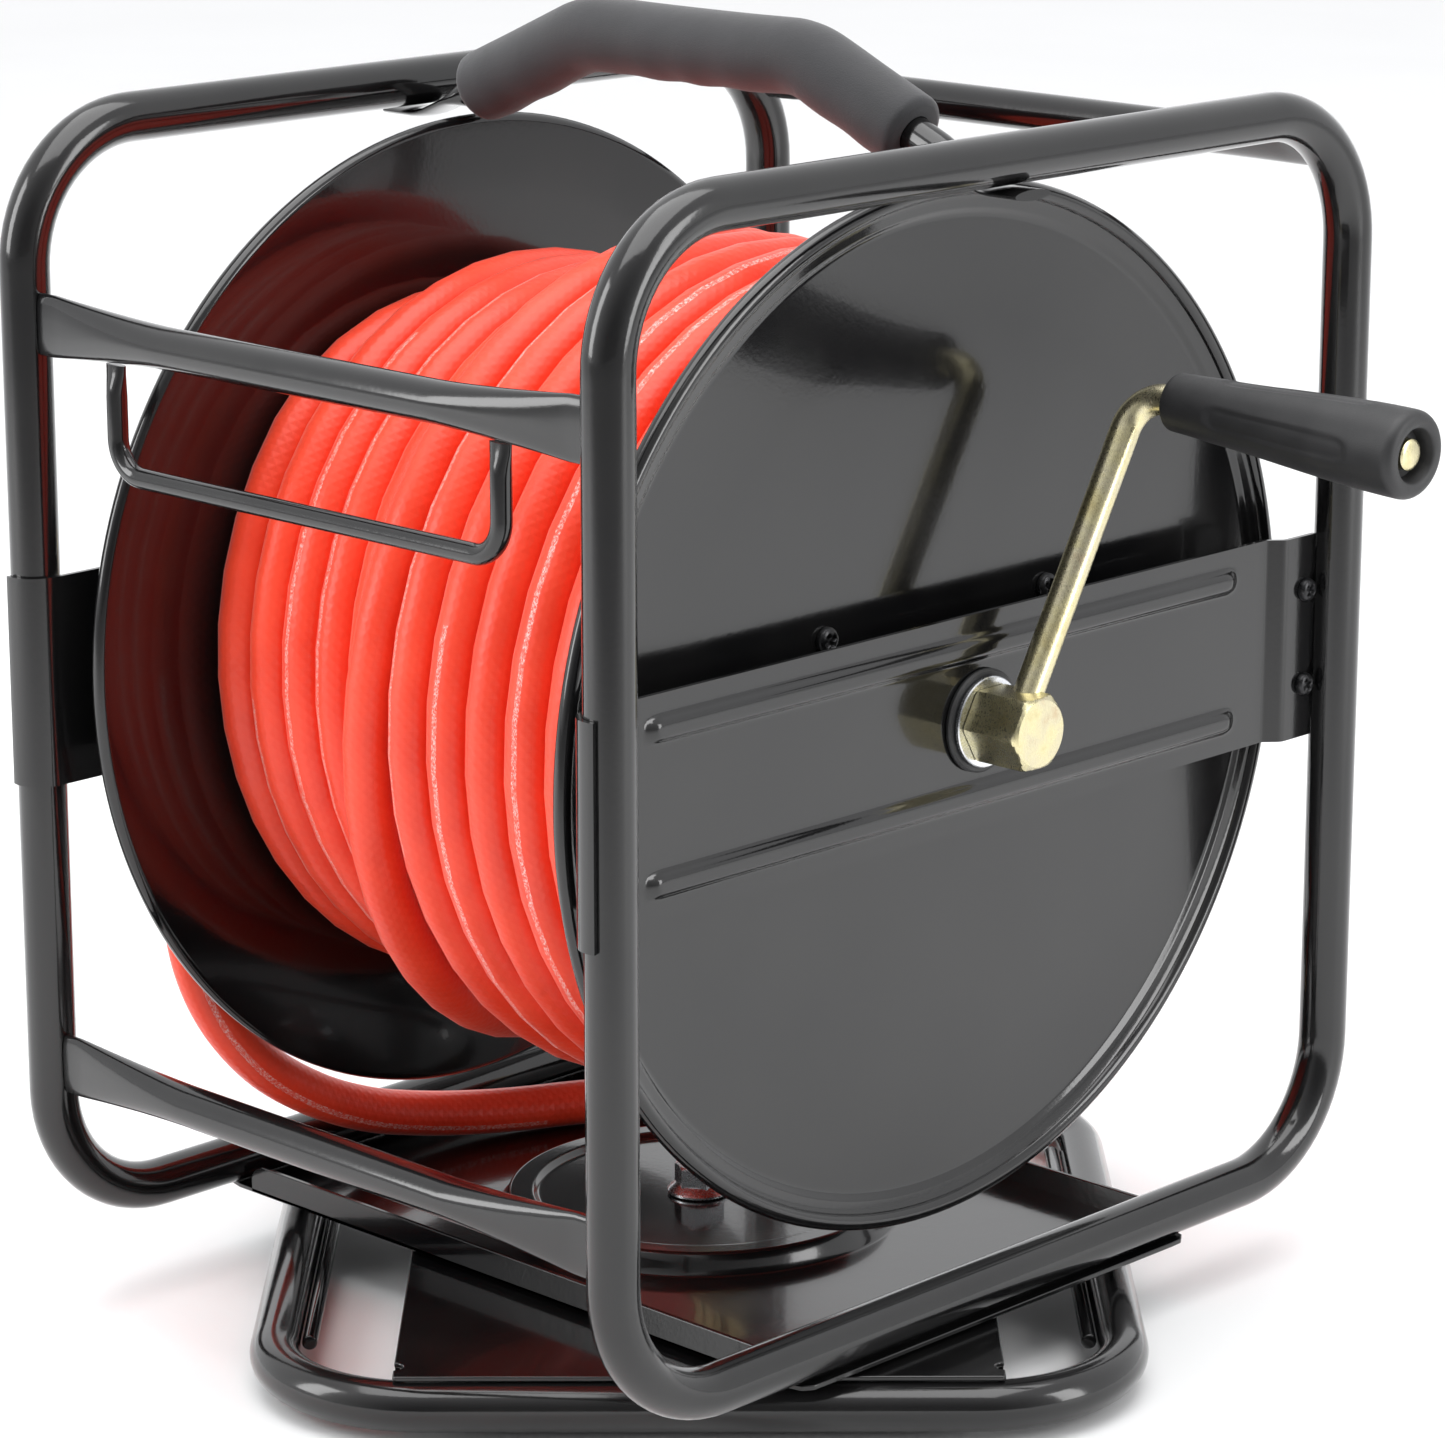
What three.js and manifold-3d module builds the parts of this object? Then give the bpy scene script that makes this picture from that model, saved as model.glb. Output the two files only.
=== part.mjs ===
// Free-standing air-hose reel: a tubular cage on a swivelling floor frame carries a hand-cranked drum
// of hose. Millimetres, +Z up, origin on the floor under the swivel axis. The drum's axle lies along X,
// the crank is on +X, and -Y is the front, where the hose is drawn out through the guide.
import * as THREE from "three";
import { mergeVertices } from "three/addons/utils/BufferGeometryUtils.js";
import Module from "manifold-3d";

const wasm = await Module();
wasm.setup();

// ---- Driving dimensions ----------------------------------------------------------------------------
const GAP = 0.3; // left between pieces that touch

const TUBE_R = 10; // bent frame tube
const BAR_R = 8; // crossbar tube
const BAR_FLAT_HEIGHT = 24; // a crossbar's squashed end
const BAR_FLAT_THICKNESS = 5;
const BAR_FLAT_LENGTH = 8;
const BAR_SQUASH_LENGTH = 75; // from the round bar to its end

const HOSE_R = 9.5;
const WIND_WIDTH = 249; // between the drum's flanges
const FLANGE_R = 202.5; // outside of the rolled rim
const SHEET = 1.5; // flange sheet
const RIM_ROLL_R = 3.4; // rolled rim
const CORE_R = 112;
const CORE_WALL = 2;
const FULL_LAYERS = 2; // whole layers of hose on the core
const TOP_LAYER_TURNS = 7; // turns of the last, part-filled layer, counted from the crank side
const TOP_LAYER_PITCH = 21; // its turns lie a little apart

const FLANGE_TO_CAGE = 22.3; // from a flange's outer face to the inside of the loop beside it
const RIM_BEHIND_TUBE = 2.5; // from the rim to the front and rear tube centres
const RIM_ABOVE_TUBE = 9; // from the bottom tubes up to the rim
const RIM_BELOW_TUBE = 0.5; // from the rim up to the top tubes
const CAGE_BEND_R = 53;

const BASE_WIDTH = 328; // between tube centres
const BASE_DEPTH = 346;
const BASE_BEND_R = 60;
const BASE_TURN = THREE.MathUtils.degToRad(44.4); // how far the cage stands swivelled on its base
const FOOT_HEIGHT = 3.5; // floor to tube
const FOOT_R = 9;
const PEDESTAL_WIDTH = 230;
const PEDESTAL_SHEET = 2;
const DECK_SHEET = 2;
const DECK_ABOVE_PEDESTAL = 1.9;
const DECK_DEPTH = 226;
const DECK_FLANGE_HEIGHT = 10;
const DECK_OVERHANG = 7; // beyond the bottom tube's centre
const PLATEAU_R = 79; // raised round middle of the deck
const PLATEAU_RISE = 8.7;
const PLATEAU_DISH_R = 68;
const PLATEAU_DISH_DEPTH = 2.4;

const BRACKET_SHEET = 2;
const BRACKET_HEIGHT = 83;
const BRACKET_JOGGLE = 5.6;
const BEAD_WIDTH = 11;
const BEAD_RISE = 2.6;
const SCREW_SPACING = 39; // between a bracket's two screws

const AXLE_R = 10;
const AIR_BORE_R = 4.5;
const HEX_ACROSS_FLATS = 27;
const HEX_LENGTH = 25;
const CRANK_ROD_R = 5.8;
const CRANK_THROW = 136;
const CRANK_BEND_R = 14;
const CRANK_ANGLE = THREE.MathUtils.degToRad(30); // from upright, towards the rear
const CRANK_OVERBEND = THREE.MathUtils.degToRad(2.5); // beyond square, so the grip dips towards the axle
const GRIP_LENGTH = 113;
const GRIP_SMALL_R = 11.2;
const GRIP_LARGE_R = 16.6;

const HANDLE_BAR_R = 7;
const HANDLE_RISE = 39.5; // middle of the bar above its welded tabs
const HANDLE_SLOPE = THREE.MathUtils.degToRad(23);
const HANDLE_BEND_R = 45; // where the slope meets the middle
const HANDLE_FOOT_BEND_R = 26;
const HANDLE_TAB_REACH = 12; // a tab's end beyond the tube's centre
const FOAM_R = 14.6;
const FOAM_LENGTH = 234; // along X
const FOAM_OFFSET = -5; // it sits a little towards the inlet side
const GUIDE_R = 4;
const GUIDE_WIDTH = 210;
const GUIDE_DROP = 52;
const GUIDE_BEND_R = 14;

const PIVOT_R = 6; // swivel bolt
const RACE_OUTER_R = 56;
const RACE_INNER_R = 24;

const ROUND = 40; // facets round a large turned piece
const TUBE_SIDES = 12;
const WINDING_SIDES = 36; // facets round the core and the coil on it

// ---- Places worked out from them -------------------------------------------------------------------
const BASE_Z = FOOT_HEIGHT + TUBE_R;
const PEDESTAL_Z = BASE_Z + TUBE_R + GAP; // underside
const PEDESTAL_TOP = PEDESTAL_Z + PEDESTAL_SHEET;
const DECK_Z = PEDESTAL_TOP + DECK_ABOVE_PEDESTAL; // underside
const DECK_TOP = DECK_Z + DECK_SHEET;
const BOTTOM_Z = DECK_TOP + GAP + TUBE_R; // bottom tube centres
const AXLE_Z = BOTTOM_Z + TUBE_R + RIM_ABOVE_TUBE + FLANGE_R;
const TOP_Z = AXLE_Z + FLANGE_R + RIM_BELOW_TUBE + TUBE_R;
const FRONT_Y = -(FLANGE_R + RIM_BEHIND_TUBE);
const REAR_Y = -FRONT_Y;
const INNER_FACE_X = WIND_WIDTH / 2;
const OUTER_FACE_X = INNER_FACE_X + SHEET;
const LOOP_X = OUTER_FACE_X + FLANGE_TO_CAGE + TUBE_R;
const BRACKET_X = LOOP_X - TUBE_R - GAP; // outer face
const BRACKET_INNER_X = BRACKET_X - BRACKET_SHEET;

// ---- Finishes ---------------------------------------------------------------------------------------
const FINISH = {
  black_paint: { color: 0x0c0c0e, roughness: 0.18, metalness: 0.2 },
  black_plastic: { color: 0x191a1b, roughness: 0.55, metalness: 0 },
  foam: { color: 0x1c1d1f, roughness: 0.95, metalness: 0 },
  hose_red: { color: 0xf04030, roughness: 0.42, metalness: 0 },
  yellow_zinc: { color: 0xb9a567, roughness: 0.3, metalness: 1 },
  bright_zinc: { color: 0xc9ccd0, roughness: 0.25, metalness: 1 },
  black_steel: { color: 0x141416, roughness: 0.35, metalness: 0.8 },
  rubber: { color: 0x111111, roughness: 0.85, metalness: 0 },
  brass: { color: 0xb99a52, roughness: 0.3, metalness: 1 },
};

// ---- Solids -----------------------------------------------------------------------------------------
// A geometry with shared vertices and no triangle of zero width.
function welded(geometry) {
  const bare = geometry.clone();
  bare.deleteAttribute("normal");
  bare.deleteAttribute("uv");
  const merged = mergeVertices(bare, 1e-4);
  const corners = merged.index.array;
  const kept = [];
  for (let i = 0; i < corners.length; i += 3) {
    const [a, b, c] = corners.slice(i, i + 3);
    if (a !== b && b !== c && c !== a) kept.push(a, b, c);
  }
  merged.setIndex(kept);
  return merged;
}

function solid(geometry) {
  const merged = welded(geometry);
  return new wasm.Manifold(
    new wasm.Mesh({
      numProp: 3,
      vertProperties: Float32Array.from(merged.attributes.position.array),
      triVerts: Uint32Array.from(merged.index.array),
    }),
  );
}

function geometryOf(manifold) {
  const mesh = manifold.getMesh();
  const geometry = new THREE.BufferGeometry();
  geometry.setAttribute("position", new THREE.BufferAttribute(mesh.vertProperties, 3));
  geometry.setIndex([...mesh.triVerts]);
  geometry.computeVertexNormals();
  return geometry;
}

const cut = (body, ...tools) =>
  geometryOf(tools.reduce((left, tool) => left.subtract(solid(tool)), solid(body)));

const join = (...bodies) => geometryOf(bodies.map(solid).reduce((whole, body) => whole.add(body)));

// ---- Paths and lofts --------------------------------------------------------------------------------
const vec = (x, y, z) => new THREE.Vector3(x, y, z);

// Stations (a point and its direction) along straight runs joined by bends. A corner's own radius comes
// before the path's.
function bentPath(corners, pathRadius, { closed = false, steps = 5, radii = [] } = {}) {
  const count = corners.length;
  const stations = [];
  for (let i = 0; i < count; i++) {
    const here = corners[i];
    const before = corners[(i + count - 1) % count];
    const after = corners[(i + 1) % count];
    const into = here.clone().sub(before).normalize();
    const out = after.clone().sub(here).normalize();
    if (!closed && i === 0) {
      stations.push({ point: here.clone(), along: out });
    } else if (!closed && i === count - 1) {
      stations.push({ point: here.clone(), along: into });
    } else {
      const radius = radii[i] ?? pathRadius;
      const turn = into.angleTo(out);
      const axis = into.clone().cross(out).normalize();
      const start = here.clone().addScaledVector(into, -radius * Math.tan(turn / 2));
      const centre = start.clone().addScaledVector(axis.clone().cross(into), radius);
      for (let k = 0; k <= steps; k++) {
        const angle = (turn * k) / steps;
        const arm = start.clone().sub(centre).applyAxisAngle(axis, angle);
        stations.push({ point: centre.clone().add(arm), along: into.clone().applyAxisAngle(axis, angle) });
      }
    }
  }
  return stations;
}

// An oval ring across a station of a path that lies in the plane square to normal. across is half its
// size in that plane and high is half its size along normal.
function ovalRing({ point, along }, normal, across, high, sides) {
  const side = normal.clone().cross(along);
  return Array.from({ length: sides }, (_, k) => {
    const angle = (2 * Math.PI * (k + 0.5)) / sides;
    return point
      .clone()
      .addScaledVector(side, across * Math.cos(angle))
      .addScaledVector(normal, high * Math.sin(angle));
  });
}

// A closed solid through rings of equal point count: a loop when closed, else with two flat ends.
function loft(rings, closed = false) {
  const sides = rings[0].length;
  const geometry = new THREE.BufferGeometry().setFromPoints(rings.flat());
  const index = [];
  const spans = closed ? rings.length : rings.length - 1;
  for (let i = 0; i < spans; i++) {
    const near = i * sides;
    const far = ((i + 1) % rings.length) * sides;
    for (let j = 0; j < sides; j++) {
      const next = (j + 1) % sides;
      index.push(near + j, near + next, far + next, near + j, far + next, far + j);
    }
  }
  if (!closed) {
    const last = (rings.length - 1) * sides;
    for (let j = 1; j < sides - 1; j++) {
      index.push(0, j + 1, j, last, last + j, last + j + 1);
    }
  }
  geometry.setIndex(index);
  return geometry;
}

function roundTube(stations, normal, radius, { closed = false, sides = TUBE_SIDES } = {}) {
  return loft(
    stations.map((station) => ovalRing(station, normal, radius, radius, sides)),
    closed,
  );
}

// A profile of [radius, height] turned round the Z axis.
function turned(profile, segments = ROUND) {
  const onAxis = profile[0][0] === 0 && profile.at(-1)[0] === 0;
  const points = profile.map(([radius, height]) => new THREE.Vector2(radius, height));
  if (THREE.ShapeUtils.isClockWise(points)) points.reverse();
  if (!onAxis) points.push(points[0].clone());
  return new THREE.LatheGeometry(points, segments).rotateX(Math.PI / 2);
}

const rod = (radius, from, to, segments = 20) =>
  turned([[0, from], [radius, from], [radius, to], [0, to]], segments);

const ring = (inner, outer, from, to, segments = ROUND) =>
  turned([[inner, from], [outer, from], [outer, to], [inner, to]], segments);

// Turns a piece made along Z to lie along X.
const alongX = (geometry) => geometry.rotateY(Math.PI / 2);

function box(width, depth, height, x = 0, y = 0, z = 0) {
  return new THREE.BoxGeometry(width, depth, height).translate(x, y, z);
}

function roundedRectangle(width, height, radius) {
  const shape = new THREE.Shape();
  const x = width / 2 - radius;
  const y = height / 2 - radius;
  shape.absarc(x, y, radius, 0, Math.PI / 2);
  shape.absarc(-x, y, radius, Math.PI / 2, Math.PI);
  shape.absarc(-x, -y, radius, Math.PI, 1.5 * Math.PI);
  shape.absarc(x, -y, radius, 1.5 * Math.PI, 2 * Math.PI);
  return shape;
}

const plate = (shape, thickness, curveSegments = 4) =>
  new THREE.ExtrudeGeometry(shape, { depth: thickness, bevelEnabled: false, curveSegments });

function mesh(name, geometry, finish) {
  const made = new THREE.Mesh(geometry, new THREE.MeshStandardMaterial(FINISH[finish]));
  made.name = name;
  return made;
}

// A pan-head screw along Z: its head's underside at 0, its shank below.
function panHeadScrew(headR, headHeight, shankR, length) {
  return turned(
    [
      [0, -length],
      [shankR, -length],
      [shankR, 0],
      [headR, 0],
      [headR, headHeight * 0.5],
      [headR * 0.6, headHeight],
      [0, headHeight],
    ],
    10,
  );
}

// ---- Base: floor loop, pedestal, feet, swivel bearing -------------------------------------------------
function baseLoopPath() {
  const x = BASE_WIDTH / 2;
  const y = BASE_DEPTH / 2;
  const corners = [vec(-x, -y, BASE_Z), vec(x, -y, BASE_Z), vec(x, y, BASE_Z), vec(-x, y, BASE_Z)];
  return bentPath(corners, BASE_BEND_R, { closed: true });
}

const UP = vec(0, 0, 1);

const baseLoop = () => roundTube(baseLoopPath(), UP, TUBE_R, { closed: true });

// A sheet bridge from the front tube to the rear one. Its four edges are folded down: the sides as
// stiffeners, the ends as lips that are welded to the tubes, with a relief notch in each corner.
function pedestalPlate() {
  const notch = 7;
  const sideDrop = 11;
  const reach = BASE_DEPTH + 2;
  const top = plate(roundedRectangle(PEDESTAL_WIDTH, reach, 2), PEDESTAL_SHEET).translate(0, 0, PEDESTAL_Z);
  const sideLength = BASE_DEPTH - 2 * TUBE_R - 2 * notch;
  const sideX = (PEDESTAL_WIDTH - PEDESTAL_SHEET) / 2;
  const sides = [-1, 1].map((side) =>
    box(PEDESTAL_SHEET, sideLength, sideDrop, side * sideX, 0, PEDESTAL_TOP - sideDrop / 2),
  );
  const notches = [];
  for (const x of [-1, 1]) {
    for (const y of [-1, 1]) {
      notches.push(
        rod(notch / 2, 0, 2 * PEDESTAL_Z, 10).translate((x * PEDESTAL_WIDTH) / 2, y * (BASE_DEPTH / 2 - TUBE_R), 0),
      );
    }
  }
  const bolt = rod(PIVOT_R + GAP, 0, 2 * PEDESTAL_Z, 12);
  return cut(join(top, ...sides), ...notches, bolt);
}

// A slim stiffening rod along the inside of each side tube.
function sideRod(side) {
  const radius = 3;
  const x = side * (BASE_WIDTH / 2 - TUBE_R - radius - GAP);
  const half = BASE_DEPTH / 2 - BASE_BEND_R - 4;
  return rod(radius, -half, half, 10).rotateX(Math.PI / 2).translate(x, 0, BASE_Z);
}

// A rubber pad that cradles the underside of a side tube.
function foot(x, y) {
  const rise = FOOT_HEIGHT + 4;
  const pad = turned([[0, 0], [FOOT_R - 1, 0], [FOOT_R, 1], [FOOT_R, rise], [0, rise]], 12);
  const tube = rod(TUBE_R + GAP, -2 * FOOT_R, 2 * FOOT_R).rotateX(Math.PI / 2).translate(0, 0, BASE_Z);
  return cut(pad, tube).translate(x, y, 0);
}

// The swivel bearing: a lower race on the pedestal, a ring of balls, and an upper race under the deck.
const RACE_SPACE = DECK_TOP + PLATEAU_RISE - PLATEAU_DISH_DEPTH - DECK_SHEET - PEDESTAL_TOP;
const RACE_THICKNESS = (RACE_SPACE - 4 * GAP) / 3;
const RACE_STEP = RACE_THICKNESS + GAP;

function race(level) {
  const from = PEDESTAL_TOP + GAP + level * RACE_STEP;
  return ring(RACE_INNER_R, RACE_OUTER_R, from, from + RACE_THICKNESS, 28);
}

const PIVOT_NUT_HEIGHT = 12;
const PIVOT_SEAT = DECK_TOP + PLATEAU_RISE - PLATEAU_DISH_DEPTH + GAP;

function hexagon(acrossFlats) {
  const corner = acrossFlats / Math.sqrt(3);
  return new THREE.Shape(
    Array.from({ length: 6 }, (_, k) => {
      const angle = (k * Math.PI) / 3 + Math.PI / 6;
      return new THREE.Vector2(corner * Math.cos(angle), corner * Math.sin(angle));
    }),
  );
}

function pivotBolt() {
  const headHeight = 7.5;
  const head = plate(hexagon(18), headHeight).translate(0, 0, PEDESTAL_Z - GAP - headHeight);
  const top = PIVOT_SEAT + PIVOT_NUT_HEIGHT + 3;
  const shank = turned(
    [[0, PEDESTAL_Z - 1], [PIVOT_R, PEDESTAL_Z - 1], [PIVOT_R, top - 1], [PIVOT_R - 1, top], [0, top]],
    20,
  );
  return join(head, shank);
}

function pivotNut() {
  const flange = turned([[0, 0], [13, 0], [13, 1.6], [9.4, 4], [0, 4]], 18);
  const corners = turned([[0, 0], [10.4, 0], [10.4, PIVOT_NUT_HEIGHT - 1.2], [9, PIVOT_NUT_HEIGHT],
    [0, PIVOT_NUT_HEIGHT]], 18);
  const hex = geometryOf(solid(plate(hexagon(18), PIVOT_NUT_HEIGHT)).intersect(solid(corners)));
  return cut(join(flange, hex), rod(PIVOT_R + GAP, -1, PIVOT_NUT_HEIGHT + 1, 12)).translate(0, 0, PIVOT_SEAT);
}

function base() {
  const group = new THREE.Group();
  group.rotation.z = BASE_TURN;
  group.add(mesh("base_loop", baseLoop(), "black_paint"));
  group.add(mesh("pedestal_plate", pedestalPlate(), "black_paint"));
  group.add(mesh("base_side_rod_left", sideRod(-1), "black_paint"));
  group.add(mesh("base_side_rod_right", sideRod(1), "black_paint"));
  const footX = BASE_WIDTH / 2;
  const footY = BASE_DEPTH / 2 - BASE_BEND_R - FOOT_R;
  const corners = [["front_left", -1, -1], ["front_right", 1, -1], ["rear_left", -1, 1], ["rear_right", 1, 1]];
  for (const [corner, x, y] of corners) {
    group.add(mesh(`foot_${corner}`, foot(x * footX, y * footY), "rubber"));
  }
  group.add(mesh("bearing_lower_race", race(0), "bright_zinc"));
  group.add(mesh("bearing_ball_ring", race(1), "bright_zinc"));
  group.add(mesh("pivot_bolt", pivotBolt(), "bright_zinc"));
  group.add(mesh("pivot_nut", pivotNut(), "bright_zinc"));
  return group;
}

// ---- Cage: two loops, crossbars, guide, deck, carry handle --------------------------------------------
const AXLE_LINE = vec(1, 0, 0);

function sideLoop() {
  const corners = [
    vec(LOOP_X, FRONT_Y, BOTTOM_Z),
    vec(LOOP_X, REAR_Y, BOTTOM_Z),
    vec(LOOP_X, REAR_Y, TOP_Z),
    vec(LOOP_X, FRONT_Y, TOP_Z),
  ];
  return roundTube(bentPath(corners, CAGE_BEND_R, { closed: true }), AXLE_LINE, TUBE_R, { closed: true });
}

const BAR_REACH = LOOP_X - TUBE_R - GAP; // half a crossbar's length

// Half the height and half the thickness of a crossbar at a distance from its end.
function barSection(inset) {
  const run = BAR_SQUASH_LENGTH - BAR_FLAT_LENGTH;
  const flat = 1 - THREE.MathUtils.clamp((inset - BAR_FLAT_LENGTH) / run, 0, 1);
  return [
    THREE.MathUtils.lerp(BAR_R, BAR_FLAT_HEIGHT / 2, flat ** 1.5),
    THREE.MathUtils.lerp(BAR_R, BAR_FLAT_THICKNESS / 2, flat ** 1.2),
  ];
}

// A round bar across the cage. Each end is squashed, little by little, to a thin oval along flatUp.
function crossbar(y, z, flatUp) {
  const across = flatUp.clone().cross(AXLE_LINE);
  const squashSteps = 4;
  const insets = [0];
  for (let k = 0; k <= squashSteps; k++) {
    insets.push(THREE.MathUtils.lerp(BAR_FLAT_LENGTH, BAR_SQUASH_LENGTH, k / squashSteps));
  }
  const left = insets.map((inset) => inset - BAR_REACH);
  const right = insets.map((inset) => BAR_REACH - inset).reverse();
  const rings = [...left, ...right].map((x) => {
    const [high, thin] = barSection(BAR_REACH - Math.abs(x));
    return Array.from({ length: TUBE_SIDES }, (_, k) => {
      const angle = (2 * Math.PI * (k + 0.5)) / TUBE_SIDES;
      return vec(x, y, z)
        .addScaledVector(flatUp, high * Math.cos(angle))
        .addScaledVector(across, -thin * Math.sin(angle));
    });
  });
  return loft(rings);
}

const FRONT_UPPER_Z = TOP_Z - CAGE_BEND_R - 20;
const FRONT_LOWER_Z = BOTTOM_Z + CAGE_BEND_R + 12.5;
const REAR_BEND_SHARE = Math.SQRT1_2; // the rear bar meets the loops halfway round their top rear bends
const REAR_BAR_Y = REAR_Y - CAGE_BEND_R * (1 - REAR_BEND_SHARE);
const REAR_BAR_Z = TOP_Z - CAGE_BEND_R * (1 - REAR_BEND_SHARE);

// A U of thin rod under the front upper bar. The hose is drawn out through it.
function guideRod() {
  const x = GUIDE_WIDTH / 2;
  const crimpWidth = 1.35 * GUIDE_R;
  const [barHigh] = barSection(BAR_REACH - x - crimpWidth);
  const top = FRONT_UPPER_Z - barHigh - GAP;
  const low = FRONT_UPPER_Z - GUIDE_DROP;
  const corners = [vec(-x, FRONT_Y, top), vec(-x, FRONT_Y, low), vec(x, FRONT_Y, low), vec(x, FRONT_Y, top)];
  const crimp = 11; // length of leg squashed where it is welded
  const normal = vec(0, 1, 0);
  const path = bentPath(corners, GUIDE_BEND_R, { steps: 5 });
  const crimped = (station) => ({ ...station, point: station.point.clone().setZ(top - crimp) });
  const stations = [path[0], crimped(path[0]), ...path.slice(1, -1), crimped(path.at(-1)), path.at(-1)];
  const last = stations.length - 1;
  const rings = stations.map((station, i) => {
    const end = i === 0 || i === last;
    return ovalRing(station, normal, end ? crimpWidth : GUIDE_R, end ? GUIDE_R * 0.5 : GUIDE_R, 10);
  });
  return loft(rings);
}

// The carry handle's bar, seen from the front: tabs squashed flat under the loops' top tubes, then a
// slope up to the straight middle.
const HANDLE_TAB_THICKNESS = 4;
const HANDLE_TAB_Z = TOP_Z - TUBE_R - GAP - HANDLE_TAB_THICKNESS / 2;
const HANDLE_SQUASH_END = LOOP_X - 20; // where the tab ends, on the slope
const HANDLE_ROUND_FROM = HANDLE_SQUASH_END - 14;
const HANDLE_FOOT_X = LOOP_X - 7; // where the tab turns up

function handlePath() {
  const tabEnd = LOOP_X + HANDLE_TAB_REACH;
  const middleX = HANDLE_FOOT_X - HANDLE_RISE / Math.tan(HANDLE_SLOPE);
  const top = HANDLE_TAB_Z + HANDLE_RISE;
  const corners = [
    vec(-tabEnd, 0, HANDLE_TAB_Z),
    vec(-HANDLE_FOOT_X, 0, HANDLE_TAB_Z),
    vec(-middleX, 0, top),
    vec(middleX, 0, top),
    vec(HANDLE_FOOT_X, 0, HANDLE_TAB_Z),
    vec(tabEnd, 0, HANDLE_TAB_Z),
  ];
  const foot = HANDLE_FOOT_BEND_R;
  return bentPath(corners, HANDLE_BEND_R, { steps: 4, radii: [0, foot, undefined, undefined, foot] });
}

const HANDLE_NORMAL = vec(0, -1, 0);

// The path with one more station where a straight run crosses x.
function withStationAt(path, x) {
  const next = path.findIndex(({ point }) => point.x > x);
  const before = path[next - 1];
  const after = path[next];
  const share = (x - before.point.x) / (after.point.x - before.point.x);
  const station = { point: before.point.clone().lerp(after.point, share), along: before.along };
  return [...path.slice(0, next), station, ...path.slice(next)];
}

function handleBar() {
  const changes = [-HANDLE_SQUASH_END, -HANDLE_ROUND_FROM, HANDLE_ROUND_FROM, HANDLE_SQUASH_END];
  const path = changes.reduce(withStationAt, handlePath());
  const rings = path.map((station) => {
    const inTab = Math.abs(station.point.x) > (HANDLE_SQUASH_END + HANDLE_ROUND_FROM) / 2;
    const across = inTab ? HANDLE_TAB_THICKNESS / 2 : HANDLE_BAR_R;
    const wide = inTab ? HANDLE_BAR_R * 1.4 : HANDLE_BAR_R;
    return ovalRing(station, HANDLE_NORMAL, across, wide, 10);
  });
  return loft(rings);
}

// The stations of the handle's path that lie inside its grip.
function foamPath() {
  const from = FOAM_OFFSET - FOAM_LENGTH / 2;
  const to = FOAM_OFFSET + FOAM_LENGTH / 2;
  const path = [from, to].reduce(withStationAt, handlePath());
  return path.filter(({ point }) => point.x > from - GAP && point.x < to + GAP);
}

function foamGrip() {
  const stations = foamPath();
  const outer = roundTube(stations, HANDLE_NORMAL, FOAM_R, { sides: 14 });
  const longer = stations.map(({ point, along }) => ({ point: point.clone(), along }));
  longer[0].point.addScaledVector(longer[0].along, -1);
  longer.at(-1).point.addScaledVector(longer.at(-1).along, 1);
  return cut(outer, roundTube(longer, HANDLE_NORMAL, HANDLE_BAR_R + GAP, { sides: 10 }));
}

// The deck under the bottom tubes: its front and rear edges are turned up between the tubes, and its
// middle is pressed up into a round plateau with a shallow dish, which clears the swivel bearing.
function deckPlate() {
  const width = 2 * (LOOP_X + DECK_OVERHANG);
  const rootR = PLATEAU_R + 6;
  const sheet = plate(roundedRectangle(width, DECK_DEPTH, 8), DECK_SHEET).translate(0, 0, DECK_Z);
  const wall = 2.5; // how far a pressed wall leans out
  const ringTop = DECK_TOP + PLATEAU_RISE;
  const dishTop = ringTop - PLATEAU_DISH_DEPTH;
  const bore = PIVOT_R + 1;
  const pressed = turned([
    [bore, dishTop],
    [PLATEAU_DISH_R - wall, dishTop],
    [PLATEAU_DISH_R, ringTop],
    [PLATEAU_R - wall, ringTop],
    [PLATEAU_R + wall, DECK_TOP],
    [rootR, DECK_TOP],
    [rootR, DECK_Z],
    [PLATEAU_R, DECK_Z],
    [PLATEAU_R - wall - DECK_SHEET, ringTop - DECK_SHEET],
    [PLATEAU_DISH_R + DECK_SHEET, ringTop - DECK_SHEET],
    [PLATEAU_DISH_R, dishTop - DECK_SHEET],
    [bore, dishTop - DECK_SHEET],
  ]);
  const open = cut(sheet, rod(rootR - 1, 0, 2 * DECK_TOP, ROUND));
  const flangeLength = 2 * (LOOP_X - TUBE_R - 1);
  const flanges = [-1, 1].map((side) => {
    const height = DECK_SHEET + DECK_FLANGE_HEIGHT;
    return plate(turnedUpEdge(flangeLength, height), DECK_SHEET)
      .rotateX(Math.PI / 2)
      .translate(0, (side * (DECK_DEPTH - DECK_SHEET)) / 2 + DECK_SHEET / 2, DECK_Z);
  });
  return join(open, pressed, ...flanges);
}

// A strip with its two upper corners rounded.
function turnedUpEdge(length, height) {
  const radius = height * 0.6;
  const x = length / 2;
  const shape = new THREE.Shape();
  shape.moveTo(-x, 0);
  shape.lineTo(x, 0);
  shape.absarc(x - radius, height - radius, radius, 0, Math.PI / 2);
  shape.absarc(radius - x, height - radius, radius, Math.PI / 2, Math.PI);
  return shape;
}

// ---- Bearing brackets ---------------------------------------------------------------------------------
const TAB_X = BRACKET_X + BRACKET_JOGGLE; // outer face of the bracket's screwed end
const SCREW_Y = REAR_Y - TUBE_R - 5.5;
const LUG_SHEET = 2.6;
const SCREW_SHANK_R = 2.4;
const BUSH_R = 13;

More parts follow.
